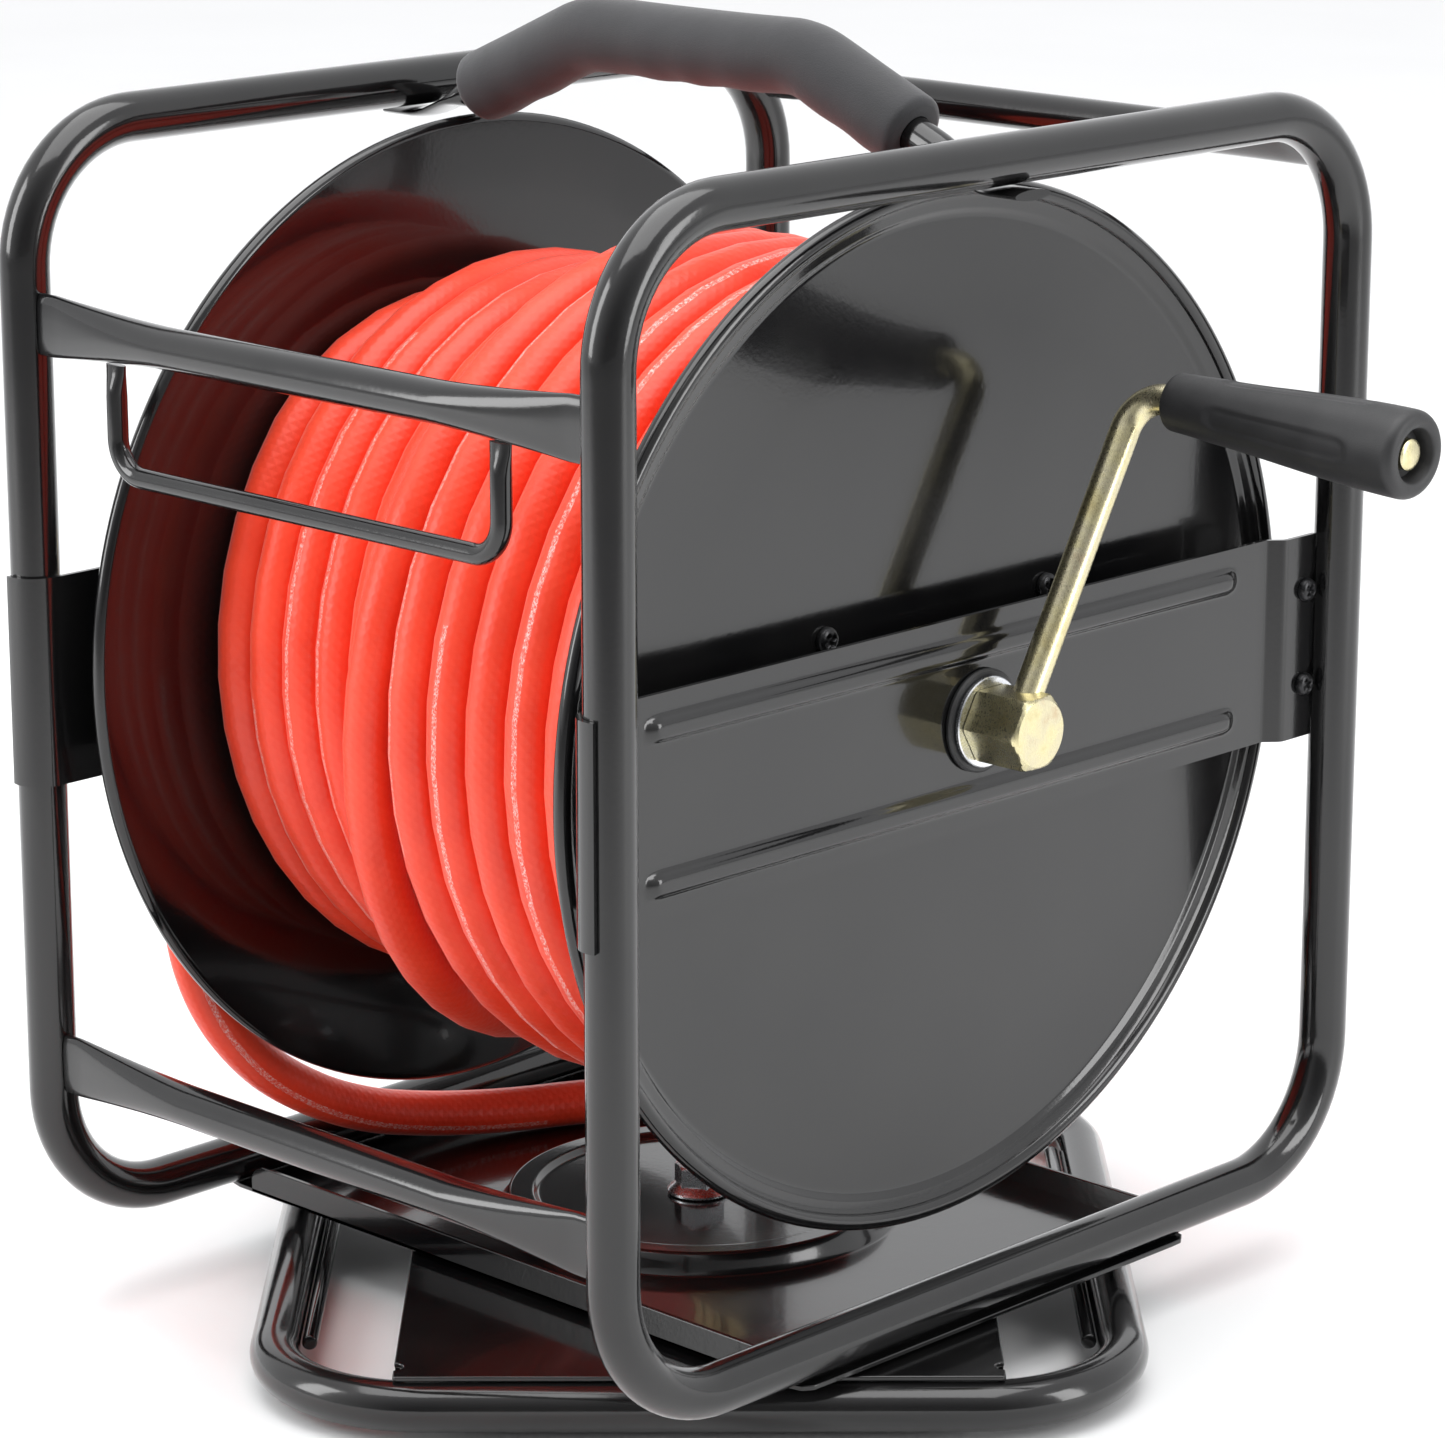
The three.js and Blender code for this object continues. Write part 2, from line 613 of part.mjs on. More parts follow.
// The outline, seen from above, of a sheet whose middle follows the stations.
function stripShape(stations, thickness) {
  const offset = (side) =>
    stations.map(({ point, along }) => {
      const reach = (side * thickness) / 2;
      return new THREE.Vector2(point.x - along.y * reach, point.y + along.x * reach);
    });
  return new THREE.Shape([...offset(1), ...offset(-1).reverse()]);
}

function bracketStations() {
  const wrapR = TUBE_R + GAP + BRACKET_SHEET / 2;
  const wrapSteps = 7;
  const wrapFrom = THREE.MathUtils.degToRad(286); // just past the tube's front
  const wrap = [];
  for (let k = 0; k < wrapSteps; k++) {
    const angle = THREE.MathUtils.lerp(wrapFrom, Math.PI, k / wrapSteps);
    const outward = vec(Math.cos(angle), Math.sin(angle), 0);
    wrap.push({
      point: outward.clone().multiplyScalar(wrapR).add(vec(LOOP_X, FRONT_Y, 0)),
      along: vec(outward.y, -outward.x, 0),
    });
  }
  const x = BRACKET_X - BRACKET_SHEET / 2;
  const tabX = x + BRACKET_JOGGLE;
  const tabY = SCREW_Y - 12;
  const run = [vec(x, FRONT_Y, 0), vec(x, tabY - 6, 0), vec(tabX, tabY, 0), vec(tabX, REAR_Y - TUBE_R + 1, 0)];
  return [...wrap, ...bentPath(run, 3, { steps: 3 })];
}

// The bracket wraps the front tube, runs along the inside of the loop and steps out to the mounting lug.
// Two long ribs, hollow behind, are pressed into it.
function bracket() {
  const bottom = AXLE_Z - BRACKET_HEIGHT / 2;
  const sheet = plate(stripShape(bracketStations(), BRACKET_SHEET), BRACKET_HEIGHT).translate(0, 0, bottom);
  const beadFrom = FRONT_Y + 27;
  const beadTo = SCREW_Y - 38;
  const beadLength = beadTo - beadFrom;
  const slope = 2;
  const beadZ = BRACKET_HEIGHT / 2 - 13;
  const ribs = [];
  const hollows = [];
  for (const side of [-1, 1]) {
    const stand = (geometry, x) =>
      geometry
        .rotateX(Math.PI / 2)
        .rotateZ(Math.PI / 2)
        .translate(x, (beadFrom + beadTo) / 2, AXLE_Z + side * beadZ);
    const width = BEAD_WIDTH - 2 * slope;
    const shape = roundedRectangle(beadLength - 2 * slope, width, width / 2 - 0.01);
    const ribbed = { depth: 1, bevelThickness: BEAD_RISE, bevelSize: slope, bevelSegments: 1, curveSegments: 3 };
    ribs.push(stand(new THREE.ExtrudeGeometry(shape, ribbed), BRACKET_X - 1));
    hollows.push(stand(plate(shape, BRACKET_SHEET + BEAD_RISE, 3), BRACKET_X - 2 * BRACKET_SHEET));
  }
  const bore = alongX(rod(BUSH_R + GAP, 0, 2 * BRACKET_X, 20)).translate(0, 0, AXLE_Z);
  return cut(join(sheet, ...ribs), ...hollows, bore, ...screwHoles(SCREW_SHANK_R + GAP));
}

const screwPlaces = [-1, 1].map((side) => vec(TAB_X, SCREW_Y, AXLE_Z + (side * SCREW_SPACING) / 2));

const screwHoles = (radius) =>
  screwPlaces.map((place) => alongX(rod(radius, -20, 20, 8)).translate(place.x, place.y, place.z));

// The lug welded inside the rear tube, behind the bracket's screwed end.
function mountingLug() {
  const height = BRACKET_HEIGHT - 10;
  const outer = TAB_X - BRACKET_SHEET - GAP;
  const rear = REAR_Y - Math.sqrt((TUBE_R + GAP) ** 2 - (LOOP_X - outer) ** 2);
  const front = SCREW_Y - 8;
  const shape = roundedRectangle(rear - front, height, 3);
  const blank = plate(shape, LUG_SHEET)
    .rotateX(Math.PI / 2)
    .rotateZ(Math.PI / 2)
    .translate(outer - LUG_SHEET, (rear + front) / 2, AXLE_Z);
  return cut(blank, ...screwHoles(SCREW_SHANK_R + GAP));
}

// A plastic bush in the bracket, with its flange on the outer face.
const BUSH_FLANGE = 2.4;
const BUSH_FLANGE_R = 20;

function bush() {
  const profile = [
    [AXLE_R + GAP, BRACKET_INNER_X - 3],
    [BUSH_R, BRACKET_INNER_X - 3],
    [BUSH_R, BRACKET_X + GAP],
    [BUSH_FLANGE_R, BRACKET_X + GAP],
    [BUSH_FLANGE_R, BRACKET_X + GAP + BUSH_FLANGE],
    [AXLE_R + GAP, BRACKET_X + GAP + BUSH_FLANGE],
  ];
  return alongX(turned(profile, 20)).translate(0, 0, AXLE_Z);
}

function bracketScrews(side) {
  const length = 9.5;
  return screwPlaces.map((place, i) => {
    const screw = mesh(`${side}_bracket_screw_${i + 1}`, panHeadScrew(4.6, 3.2, SCREW_SHANK_R, length), "black_steel");
    screw.rotation.y = Math.PI / 2;
    screw.position.set(place.x + GAP, place.y, place.z);
    return screw;
  });
}

// One side of the cage. The far side is its mirror image.
function cageSide(side) {
  const group = new THREE.Group();
  group.add(mesh(`${side}_side_loop`, sideLoop(), "black_paint"));
  group.add(mesh(`${side}_bracket`, bracket(), "black_paint"));
  group.add(mesh(`${side}_mounting_lug`, mountingLug(), "black_paint"));
  group.add(mesh(`${side}_axle_bush`, bush(), "black_plastic"));
  group.add(...bracketScrews(side));
  return group;
}

function cage() {
  const group = new THREE.Group();
  group.add(cageSide("crank"));
  const inletSide = cageSide("inlet");
  inletSide.scale.x = -1;
  group.add(inletSide);
  const slant = vec(0, REAR_BEND_SHARE, -REAR_BEND_SHARE);
  group.add(mesh("front_upper_bar", crossbar(FRONT_Y, FRONT_UPPER_Z, UP), "black_paint"));
  group.add(mesh("front_lower_bar", crossbar(FRONT_Y, FRONT_LOWER_Z, UP), "black_paint"));
  group.add(mesh("rear_upper_bar", crossbar(REAR_BAR_Y, REAR_BAR_Z, slant), "black_paint"));
  group.add(mesh("hose_guide_rod", guideRod(), "black_paint"));
  group.add(mesh("handle_bar", handleBar(), "black_paint"));
  group.add(mesh("handle_foam_grip", foamGrip(), "foam"));
  group.add(mesh("deck_plate", deckPlate(), "black_paint"));
  group.add(mesh("bearing_upper_race", race(2), "bright_zinc"));
  return group;
}

// ---- Drum ---------------------------------------------------------------------------------------------
const SCREW_ON_FLANGE = [62, 38]; // a flange screw's place from the axle, along Y and Z
const STEP_R = FLANGE_R - 14; // where the flat face ends in a low step

// A dished sheet disc with a rolled rim, and a bore for the axle.
function flange() {
  const stepRise = 1.8;
  const stepRun = 3;
  const rollCentreR = FLANGE_R - RIM_ROLL_R;
  const rollCentreX = INNER_FACE_X + RIM_ROLL_R;
  const roll = [];
  const rollSteps = 4;
  for (let k = 0; k <= rollSteps; k++) {
    const angle = THREE.MathUtils.lerp(-0.5 * Math.PI, 0.92 * Math.PI, k / rollSteps);
    roll.push([rollCentreR + RIM_ROLL_R * Math.cos(angle), rollCentreX + RIM_ROLL_R * Math.sin(angle)]);
  }
  const profile = [
    [AXLE_R + GAP, INNER_FACE_X],
    ...roll,
    [STEP_R + stepRun + 2, OUTER_FACE_X + stepRise],
    [STEP_R + stepRun, OUTER_FACE_X + stepRise],
    [STEP_R, OUTER_FACE_X],
    [AXLE_R + GAP, OUTER_FACE_X],
  ];
  const disc = alongX(turned(profile)).translate(0, 0, AXLE_Z);
  return cut(disc, ...flangeScrewPlaces().map((place) =>
    alongX(rod(2 + GAP, 0, 2 * OUTER_FACE_X, 8)).translate(0, place.y, place.z)));
}

function flangeScrewPlaces() {
  const [y, z] = SCREW_ON_FLANGE;
  return [[-1, -1], [1, -1], [-1, 1], [1, 1]].map(([a, b]) => vec(OUTER_FACE_X, a * y, AXLE_Z + b * z));
}

// The drum's core: a can whose end plates carry the flanges.
function drumCore() {
  const end = INNER_FACE_X - GAP;
  const inside = end - CORE_WALL;
  const boreR = AXLE_R + GAP;
  const profile = [
    [boreR, -end],
    [CORE_R, -end],
    [CORE_R, end],
    [boreR, end],
    [boreR, inside],
    [CORE_R - CORE_WALL, inside],
    [CORE_R - CORE_WALL, -inside],
    [boreR, -inside],
  ];
  const can = alongX(turned(profile, WINDING_SIDES)).translate(0, 0, AXLE_Z);
  const holes = flangeScrewPlaces().map((place) =>
    alongX(rod(2 + GAP, -2 * end, 2 * end, 8)).translate(0, place.y, place.z));
  const outlet = rod(OUTLET_R + GAP, 0, CORE_R + 5, 12).translate(OUTLET_X, 0, AXLE_Z);
  return cut(can, ...holes, outlet);
}

const OUTLET_R = 7;
const OUTLET_X = INNER_FACE_X - HOSE_R; // beside the crank-side flange, where winding starts
const UNION_X = -(BRACKET_X + GAP + BUSH_FLANGE + 5.6); // inner end of the inlet union
const UNION_LENGTH = 22;
const AXLE_INLET_END = UNION_X - UNION_LENGTH + 5;

// The axle, bored from the inlet end to the radial outlet.
function axle() {
  const crankEnd = HUB_X + AXLE_IN_HUB;
  const bar = alongX(rod(AXLE_R, AXLE_INLET_END, crankEnd));
  const bore = alongX(rod(AIR_BORE_R, AXLE_INLET_END - 1, OUTLET_X, 12));
  const port = rod(AIR_BORE_R, 0, AXLE_R + 1, 12).translate(OUTLET_X, 0, 0);
  return cut(bar, bore, port).translate(0, 0, AXLE_Z);
}

// The pipe that takes air from the axle out to the wound hose.
function outletPipe() {
  return ring(AIR_BORE_R, OUTLET_R, AXLE_R + GAP, CORE_R - GAP, 16).translate(OUTLET_X, 0, AXLE_Z);
}

const AXLE_WASHER = 2;
const WASHER_X = BRACKET_X + GAP + BUSH_FLANGE + GAP; // inner face of each axle washer
const HUB_X = WASHER_X + AXLE_WASHER + GAP;
const CRANK_X = HUB_X + HEX_LENGTH / 2;
const AXLE_IN_HUB = HEX_LENGTH / 2 - CRANK_ROD_R - 2 * GAP; // the axle ends beside the crank rod

// The washer on the axle outside each bush. The inlet side's is the mirror image.
const axleWasher = () =>
  alongX(ring(AXLE_R + GAP, 17.5, WASHER_X, WASHER_X + AXLE_WASHER, 20)).translate(0, 0, AXLE_Z);

// A hexagonal hub on the axle's end, drilled through one flat for the crank rod.
function crankHub() {
  const chamfer = 1.2;
  const cornerR = HEX_ACROSS_FLATS / Math.sqrt(3);
  const stock = plate(hexagon(HEX_ACROSS_FLATS), HEX_LENGTH);
  const turnedDown = turned([
    [0, 0],
    [cornerR, 0],
    [cornerR, HEX_LENGTH - chamfer],
    [cornerR - chamfer, HEX_LENGTH],
    [0, HEX_LENGTH],
  ], 24);
  const hex = alongX(geometryOf(solid(stock).intersect(solid(turnedDown)))).rotateX(Math.PI / 2);
  const socket = alongX(rod(AXLE_R + GAP, -1, AXLE_IN_HUB + GAP));
  const crankHole = rod(CRANK_ROD_R + GAP, 0, HEX_ACROSS_FLATS, 14)
    .translate(HEX_LENGTH / 2, 0, 0)
    .rotateX(-CRANK_ANGLE);
  return cut(hex, socket, crankHole).translate(HUB_X, 0, AXLE_Z);
}

// Directions of the crank: up its arm, and square to it in the plane of the bend.
const ARM = vec(0, Math.sin(CRANK_ANGLE), Math.cos(CRANK_ANGLE));
const ARM_NORMAL = AXLE_LINE.clone().cross(ARM);
const CRANK_CENTRE = vec(CRANK_X, 0, AXLE_Z);
const CRANK_PIN = CRANK_CENTRE.clone().addScaledVector(ARM, CRANK_THROW);
const GRIP_WAY = AXLE_LINE.clone()
  .multiplyScalar(Math.cos(CRANK_OVERBEND))
  .addScaledVector(ARM, -Math.sin(CRANK_OVERBEND));
const GRIP_FROM = CRANK_BEND_R + 5; // inner end of the grip, from the rod's corner
const PIN_END = GRIP_FROM + GRIP_LENGTH - 3;
const ARM_START = 3; // the rod's end inside the hub

function crankRod() {
  const start = CRANK_CENTRE.clone().addScaledVector(ARM, ARM_START);
  const end = CRANK_PIN.clone().addScaledVector(GRIP_WAY, PIN_END);
  const path = bentPath([start, CRANK_PIN, end], CRANK_BEND_R, { steps: 6 });
  return roundTube(path, ARM_NORMAL.clone().negate(), CRANK_ROD_R);
}

// A tapered plastic grip that spins on the rod. Its outer end is recessed round the rod.
function crankGrip() {
  const recess = 7;
  const boreR = CRANK_ROD_R + GAP;
  const profile = [
    [boreR, 0],
    [GRIP_SMALL_R - 1, 0],
    [GRIP_SMALL_R, 1],
    [GRIP_SMALL_R + 0.6, GRIP_LENGTH * 0.2],
    [GRIP_LARGE_R - 0.6, GRIP_LENGTH * 0.85],
    [GRIP_LARGE_R, GRIP_LENGTH - 4],
    [GRIP_LARGE_R - 1.6, GRIP_LENGTH - 1],
    [GRIP_LARGE_R - 3.6, GRIP_LENGTH],
    [boreR + 4, GRIP_LENGTH],
    [boreR + 3, GRIP_LENGTH - recess],
    [boreR, GRIP_LENGTH - recess],
  ];
  const place = CRANK_PIN.clone().addScaledVector(GRIP_WAY, GRIP_FROM);
  return turned(profile, 20)
    .applyQuaternion(new THREE.Quaternion().setFromUnitVectors(UP, GRIP_WAY))
    .translate(place.x, place.y, place.z);
}

function flangeScrews(side) {
  return flangeScrewPlaces().map((place, i) => {
    const screw = mesh(`${side}_flange_screw_${i + 1}`, panHeadScrew(5, 3.2, 2, 7), "black_steel");
    screw.rotation.y = Math.PI / 2;
    screw.position.set(place.x + GAP, place.y, place.z);
    return screw;
  });
}

function drumSide(side, washer) {
  const group = new THREE.Group();
  group.add(mesh(washer, axleWasher(), "bright_zinc"));
  group.add(mesh(`${side}_flange`, flange(), "black_paint"));
  group.add(...flangeScrews(side));
  return group;
}

// The wound hose as one ring: whole layers, then a part-filled layer that starts at the crank side.
const FULL_R = CORE_R + 2 * HOSE_R * FULL_LAYERS;
const TOP_R = FULL_R + 2 * HOSE_R;
const COIL_HALF = INNER_FACE_X - GAP;
const COIL_STEP_X = COIL_HALF - TOP_LAYER_TURNS * TOP_LAYER_PITCH;

function hoseCoil() {
  const profile = [
    [CORE_R + GAP, -COIL_HALF],
    [FULL_R, -COIL_HALF],
    [FULL_R, COIL_STEP_X],
    [TOP_R, COIL_STEP_X],
    [TOP_R, COIL_HALF],
    [CORE_R + GAP, COIL_HALF],
  ];
  return alongX(turned(profile, WINDING_SIDES)).translate(0, 0, AXLE_Z);
}

// The coupling on the hose's outer end lies along the winding, low at the rear, on the lower layer.
const COUPLING_ANGLE = THREE.MathUtils.degToRad(216); // from the top, over the front and under
const COUPLING_R = FULL_R + HOSE_R; // its inner end, from the axle
const COUPLING_X = -INNER_FACE_X + 2 * HOSE_R;

function hoseCoupling() {
  const length = 46;
  const ferruleR = HOSE_R - 0.7;
  const neckR = HOSE_R - 2.5;
  const sleeveR = HOSE_R - GAP;
  const mouthR = HOSE_R - 4;
  const profile = [
    [0, 0],
    [ferruleR, 0],
    [ferruleR, 16],
    [neckR, 17],
    [neckR, 24],
    [sleeveR, 25],
    [sleeveR, 38],
    [mouthR, 39],
    [mouthR, length],
    [0, length],
  ];
  return turned(profile, 12)
    .rotateX(Math.PI / 2)
    .translate(0, 0, COUPLING_R)
    .rotateX(COUPLING_ANGLE)
    .translate(COUPLING_X, 0, AXLE_Z);
}

function drum() {
  const group = new THREE.Group();
  group.add(drumSide("crank", "hub_washer"));
  const inletSide = drumSide("inlet", "inlet_retaining_washer");
  inletSide.scale.x = -1;
  group.add(inletSide);
  group.add(mesh("drum_core", drumCore(), "black_paint"));
  group.add(mesh("axle", axle(), "bright_zinc"));
  group.add(mesh("outlet_pipe", outletPipe(), "brass"));
  group.add(mesh("crank_hub", crankHub(), "yellow_zinc"));
  group.add(mesh("crank_rod", crankRod(), "yellow_zinc"));
  group.add(mesh("crank_grip", crankGrip(), "black_plastic"));
  group.add(mesh("hose_coil", hoseCoil(), "hose_red"));
  group.add(mesh("hose_coupling", hoseCoupling(), "brass"));
  return group;
}

// ---- Inlet union and lead-in hose ------------------------------------------------------------------------
const INLET_DIP = THREE.MathUtils.degToRad(20); // the union's outlet points forward and a little down
const INLET_REACH = 24;
const UNION_R = 14;
const UNION_CENTRE_X = UNION_X - UNION_LENGTH / 2;

// The swivelling union on the axle's inlet end, with a side pipe for the lead-in hose.
function inletUnion() {
  const shell = alongX(rod(UNION_R, UNION_X - UNION_LENGTH, UNION_X));
  const pipe = rod(9, 0, INLET_REACH, 18)
    .rotateX(Math.PI / 2 + INLET_DIP)
    .translate(UNION_CENTRE_X, 0, 0);
  const socket = alongX(rod(AXLE_R + GAP, AXLE_INLET_END - GAP, UNION_X + 1));
  return cut(join(shell, pipe), socket).translate(0, 0, AXLE_Z);
}

const INLET_WAY = vec(0, -Math.cos(INLET_DIP), -Math.sin(INLET_DIP));
const unionPoint = (reach) => vec(UNION_CENTRE_X, 0, AXLE_Z).addScaledVector(INLET_WAY, reach);

// A crimped ferrule that holds the lead-in hose on the union.
const FERRULE_LENGTH = 18;

function leadFerrule() {
  return rod(HOSE_R + 1.5, 0, FERRULE_LENGTH, 18)
    .rotateX(Math.PI / 2 + INLET_DIP)
    .translate(UNION_CENTRE_X, 0, AXLE_Z)
    .translate(0, INLET_WAY.y * (INLET_REACH + GAP), INLET_WAY.z * (INLET_REACH + GAP));
}

// The lead-in hose: from the ferrule it drops outside the inlet-side flange, passes under the drum's
// rim and comes to lie on the deck. Points along its middle, chosen by hand: X from the loop's middle
// towards the drum, Y, and the share of the way up from lying on the deck to the axle.
const LEAD_POINTS = [
  [-8.7, -80, 0.865],
  [-6.7, -104.5, 0.793],
  [-4.2, -123, 0.694],
  [-1.2, -133.5, 0.568],
  [1.8, -134, 0.43],
  [4.8, -124, 0.3],
  [8.8, -105.5, 0.189],
  [13.3, -81.5, 0.108],
  [18.8, -56, 0.054],
  [24.8, -31.5, 0.025],
  [32.3, -8.5, 0.009],
  [40.3, 12, 0.002],
  [48.8, 31.5, 0],
  [58.3, 49, 0],
  [68.8, 65.5, 0],
];
const LEAD_REST_Z = DECK_TOP + GAP + HOSE_R;

function leadCurve() {
  const reach = INLET_REACH + FERRULE_LENGTH + 2 * GAP;
  const start = [unionPoint(reach), unionPoint(reach + 10)];
  const route = LEAD_POINTS.map(([x, y, rise]) =>
    vec(x - LOOP_X, y, THREE.MathUtils.lerp(LEAD_REST_Z, AXLE_Z, rise)));
  return new THREE.CatmullRomCurve3([...start, ...route], false, "centripetal");
}

function leadHose() {
  const section = new THREE.Shape().absarc(0, 0, HOSE_R, 0, 2 * Math.PI);
  return new THREE.ExtrudeGeometry(section, { steps: 18, curveSegments: 5, extrudePath: leadCurve() });
}

// The plug on the lead-in hose's far end.
function leadPlug() {
  const ferruleR = HOSE_R - 0.1;
  const nutR = HOSE_R - 1.5;
  const noseR = HOSE_R - 4;
  const profile = [
    [0, 0],
    [ferruleR, 0],
    [ferruleR, 14],
    [nutR, 15],
    [nutR, 22],
    [noseR, 23],
    [noseR, 36],
    [0, 36],
  ];
  const curve = leadCurve();
  const way = curve.getTangentAt(1);
  const geometry = turned(profile, 18);
  geometry.applyQuaternion(new THREE.Quaternion().setFromUnitVectors(UP, way));
  const at = curve.getPointAt(1).addScaledVector(way, GAP);
  return geometry.translate(at.x, at.y, at.z);
}

function inlet() {
  const group = new THREE.Group();
  group.add(mesh("inlet_union", inletUnion(), "brass"));
  group.add(mesh("lead_hose_ferrule", leadFerrule(), "brass"));
  group.add(mesh("lead_hose", leadHose(), "hose_red"));
  group.add(mesh("lead_hose_plug", leadPlug(), "brass"));
  return group;
}

const reel = new THREE.Group();
reel.add(base(), cage(), drum(), inlet());

export default reel;
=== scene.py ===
"""Looks for the hose reel: detailed meshes and procedural materials around the fixed CAD frame."""
import math

import bmesh
import bpy
import numpy as np
from mathutils import Matrix, Vector


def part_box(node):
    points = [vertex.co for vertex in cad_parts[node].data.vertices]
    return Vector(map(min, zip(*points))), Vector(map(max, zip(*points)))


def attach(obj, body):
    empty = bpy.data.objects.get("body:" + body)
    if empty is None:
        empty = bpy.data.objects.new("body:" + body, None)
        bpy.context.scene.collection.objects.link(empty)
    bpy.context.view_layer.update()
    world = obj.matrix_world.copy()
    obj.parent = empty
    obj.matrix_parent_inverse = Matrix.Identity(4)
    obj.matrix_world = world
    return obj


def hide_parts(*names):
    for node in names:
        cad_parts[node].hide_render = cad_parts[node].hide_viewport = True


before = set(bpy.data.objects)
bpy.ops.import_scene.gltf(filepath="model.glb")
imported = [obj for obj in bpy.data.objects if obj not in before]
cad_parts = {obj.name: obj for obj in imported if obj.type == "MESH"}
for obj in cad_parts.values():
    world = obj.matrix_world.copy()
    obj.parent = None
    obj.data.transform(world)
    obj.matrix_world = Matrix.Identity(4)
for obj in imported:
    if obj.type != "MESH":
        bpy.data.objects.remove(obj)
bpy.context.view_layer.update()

# ---- Places, read from the frame --------------------


def centre(node):
    low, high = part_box(node)
    return (low + high) / 2


def size(node):
    low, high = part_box(node)
    return high - low


X, Y, Z = Vector((1, 0, 0)), Vector((0, 1, 0)), Vector((0, 0, 1))
GAP = 0.0003  # between pieces that touch
AXLE_HOLE_R = 0.0103  # in whatever the axle passes through
AXLE = centre("axle")
AXLE_Z = AXLE.z
LOOP_X = centre("crank_side_loop").x
TUBE_R = size("crank_side_loop").x / 2
LOOP_LOW, LOOP_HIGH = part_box("crank_side_loop")
FRONT_Y = LOOP_LOW.y + TUBE_R
REAR_Y = -FRONT_Y
BOTTOM_Z = LOOP_LOW.z + TUBE_R
TOP_Z = LOOP_HIGH.z - TUBE_R
CAGE_BEND_R = 0.053
BASE_TURN = math.radians(44.4)
HOSE_R = 0.0095
WIND_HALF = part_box("crank_flange")[0].x
FLANGE_R = size("crank_flange").y / 2

# ---- Camera --------------------

CAMERA_AT = Vector((1.3436, -1.3695, 0.7362))
CAMERA_AIM = Vector((0.0105, 0.0027, 0.2362))
LENS_MM = 124.3


def make_camera():
    data = bpy.data.cameras.new("camera")
    data.lens = LENS_MM
    data.sensor_width = 36
    data.clip_start, data.clip_end = 0.05, 50
    camera = bpy.data.objects.new("camera", data)
    bpy.context.scene.collection.objects.link(camera)
    camera.location = CAMERA_AT
    camera.rotation_euler = (CAMERA_AIM - CAMERA_AT).to_track_quat("-Z", "Y").to_euler()
    bpy.context.scene.camera = camera


make_camera()

# ---- Material nodes --------------------


class Nodes:
    """A short way to write a material's node tree."""

    def __init__(self, name, **shader):
        self.material = bpy.data.materials.new(name)
        self.material.use_nodes = True
        self.tree = self.material.node_tree
        self.shader = self.tree.nodes["Principled BSDF"]
        for socket, value in shader.items():
            self.shader.inputs[socket.replace("_", " ")].default_value = value
        self.object_point = self.add("ShaderNodeTexCoord").outputs["Object"]

    def add(self, kind, **settings):
        node = self.tree.nodes.new(kind)
        for key, value in settings.items():
            setattr(node, key, value)
        return node

    def feed(self, node, **inputs):
        for key, value in inputs.items():
            socket = node.inputs[key.replace("_", " ")]
            if isinstance(value, bpy.types.NodeSocket):
                self.tree.links.new(value, socket)
            else:
                socket.default_value = value
        return node

    def noise(self, scale, detail=2.0, roughness=0.5, point=None):
        node = self.feed(self.add("ShaderNodeTexNoise"), Scale=scale, Detail=detail, Roughness=roughness,
                         Vector=point or self.object_point)
        return node.outputs["Fac"]

    def math(self, operation, first, second=0.0):
        node = self.add("ShaderNodeMath", operation=operation)
        for socket, value in zip(node.inputs, (first, second)):
            if isinstance(value, bpy.types.NodeSocket):
                self.tree.links.new(value, socket)
            else:
                socket.default_value = value
        return node.outputs[0]

    def spread(self, value, low, high, low_in=0.3, high_in=0.7):
        """Maps low_in to high_in, by default a noise's middle range, onto low to high."""
        node = self.feed(self.add("ShaderNodeMapRange"), Value=value, From_Min=low_in, From_Max=high_in,
                         To_Min=low, To_Max=high)
        return node.outputs["Result"]

    def colours(self, value, *stops):
        node = self.feed(self.add("ShaderNodeValToRGB"), Fac=value)
        ramp = node.color_ramp.elements
        while len(ramp) < len(stops):
            ramp.new(0.5)
        for element, (place, colour) in zip(ramp, stops):
            element.position = place
            element.color = (*colour, 1)
        return node.outputs["Color"]

    def tones(self, value, dark, light):
        """Two colours that drift into each other over a noise's middle range."""
        return self.colours(value, (0.3, dark), (0.7, light))

    def bump(self, height, distance, strength, normal=None):
        node = self.feed(self.add("ShaderNodeBump"), Height=height, Distance=distance, Strength=strength)
        if normal:
            self.feed(node, Normal=normal)
        return node.outputs["Normal"]

    def finished(self, colour, patches, roughness, relief):
        """The material, given its colour, a roughness that varies with patches, and its relief."""
        self.feed(self.shader, Base_Color=colour, Roughness=self.spread(patches, *roughness), Normal=relief)
        return self.material


def black_paint():
    """Gloss powder coat: near black and faintly cloudy, with a fine orange peel."""
    m = Nodes("black_paint", Coat_Weight=0.35, Coat_Roughness=0.05, Specular_IOR_Level=0.42)
    cloud = m.noise(16, detail=4)
    waves = m.bump(m.noise(70), 0.0003, 0.1)
    peel = m.bump(m.noise(520, detail=3), 0.00006, 0.5, waves)
    black = m.tones(cloud, (0.0035, 0.0035, 0.004), (0.008, 0.0078, 0.0078))
    return m.finished(black, cloud, (0.10, 0.18), peel)


def grained(m, cloud_scale, cloud_detail, dark, light, grain_scale, roughness, depth, strength):
    """A cloudy colour under a fine grain, which also sets the roughness."""
    cloud = m.noise(cloud_scale, detail=cloud_detail)
    grain = m.noise(grain_scale, detail=3)
    return m.finished(m.tones(cloud, dark, light), grain, roughness, m.bump(grain, depth, strength))


def black_plastic():
    m = Nodes("black_plastic", Specular_IOR_Level=0.5)
    return grained(m, 60, 3, (0.012, 0.012, 0.013), (0.022, 0.022, 0.023), 2600, (0.42, 0.6), 0.00012, 0.5)


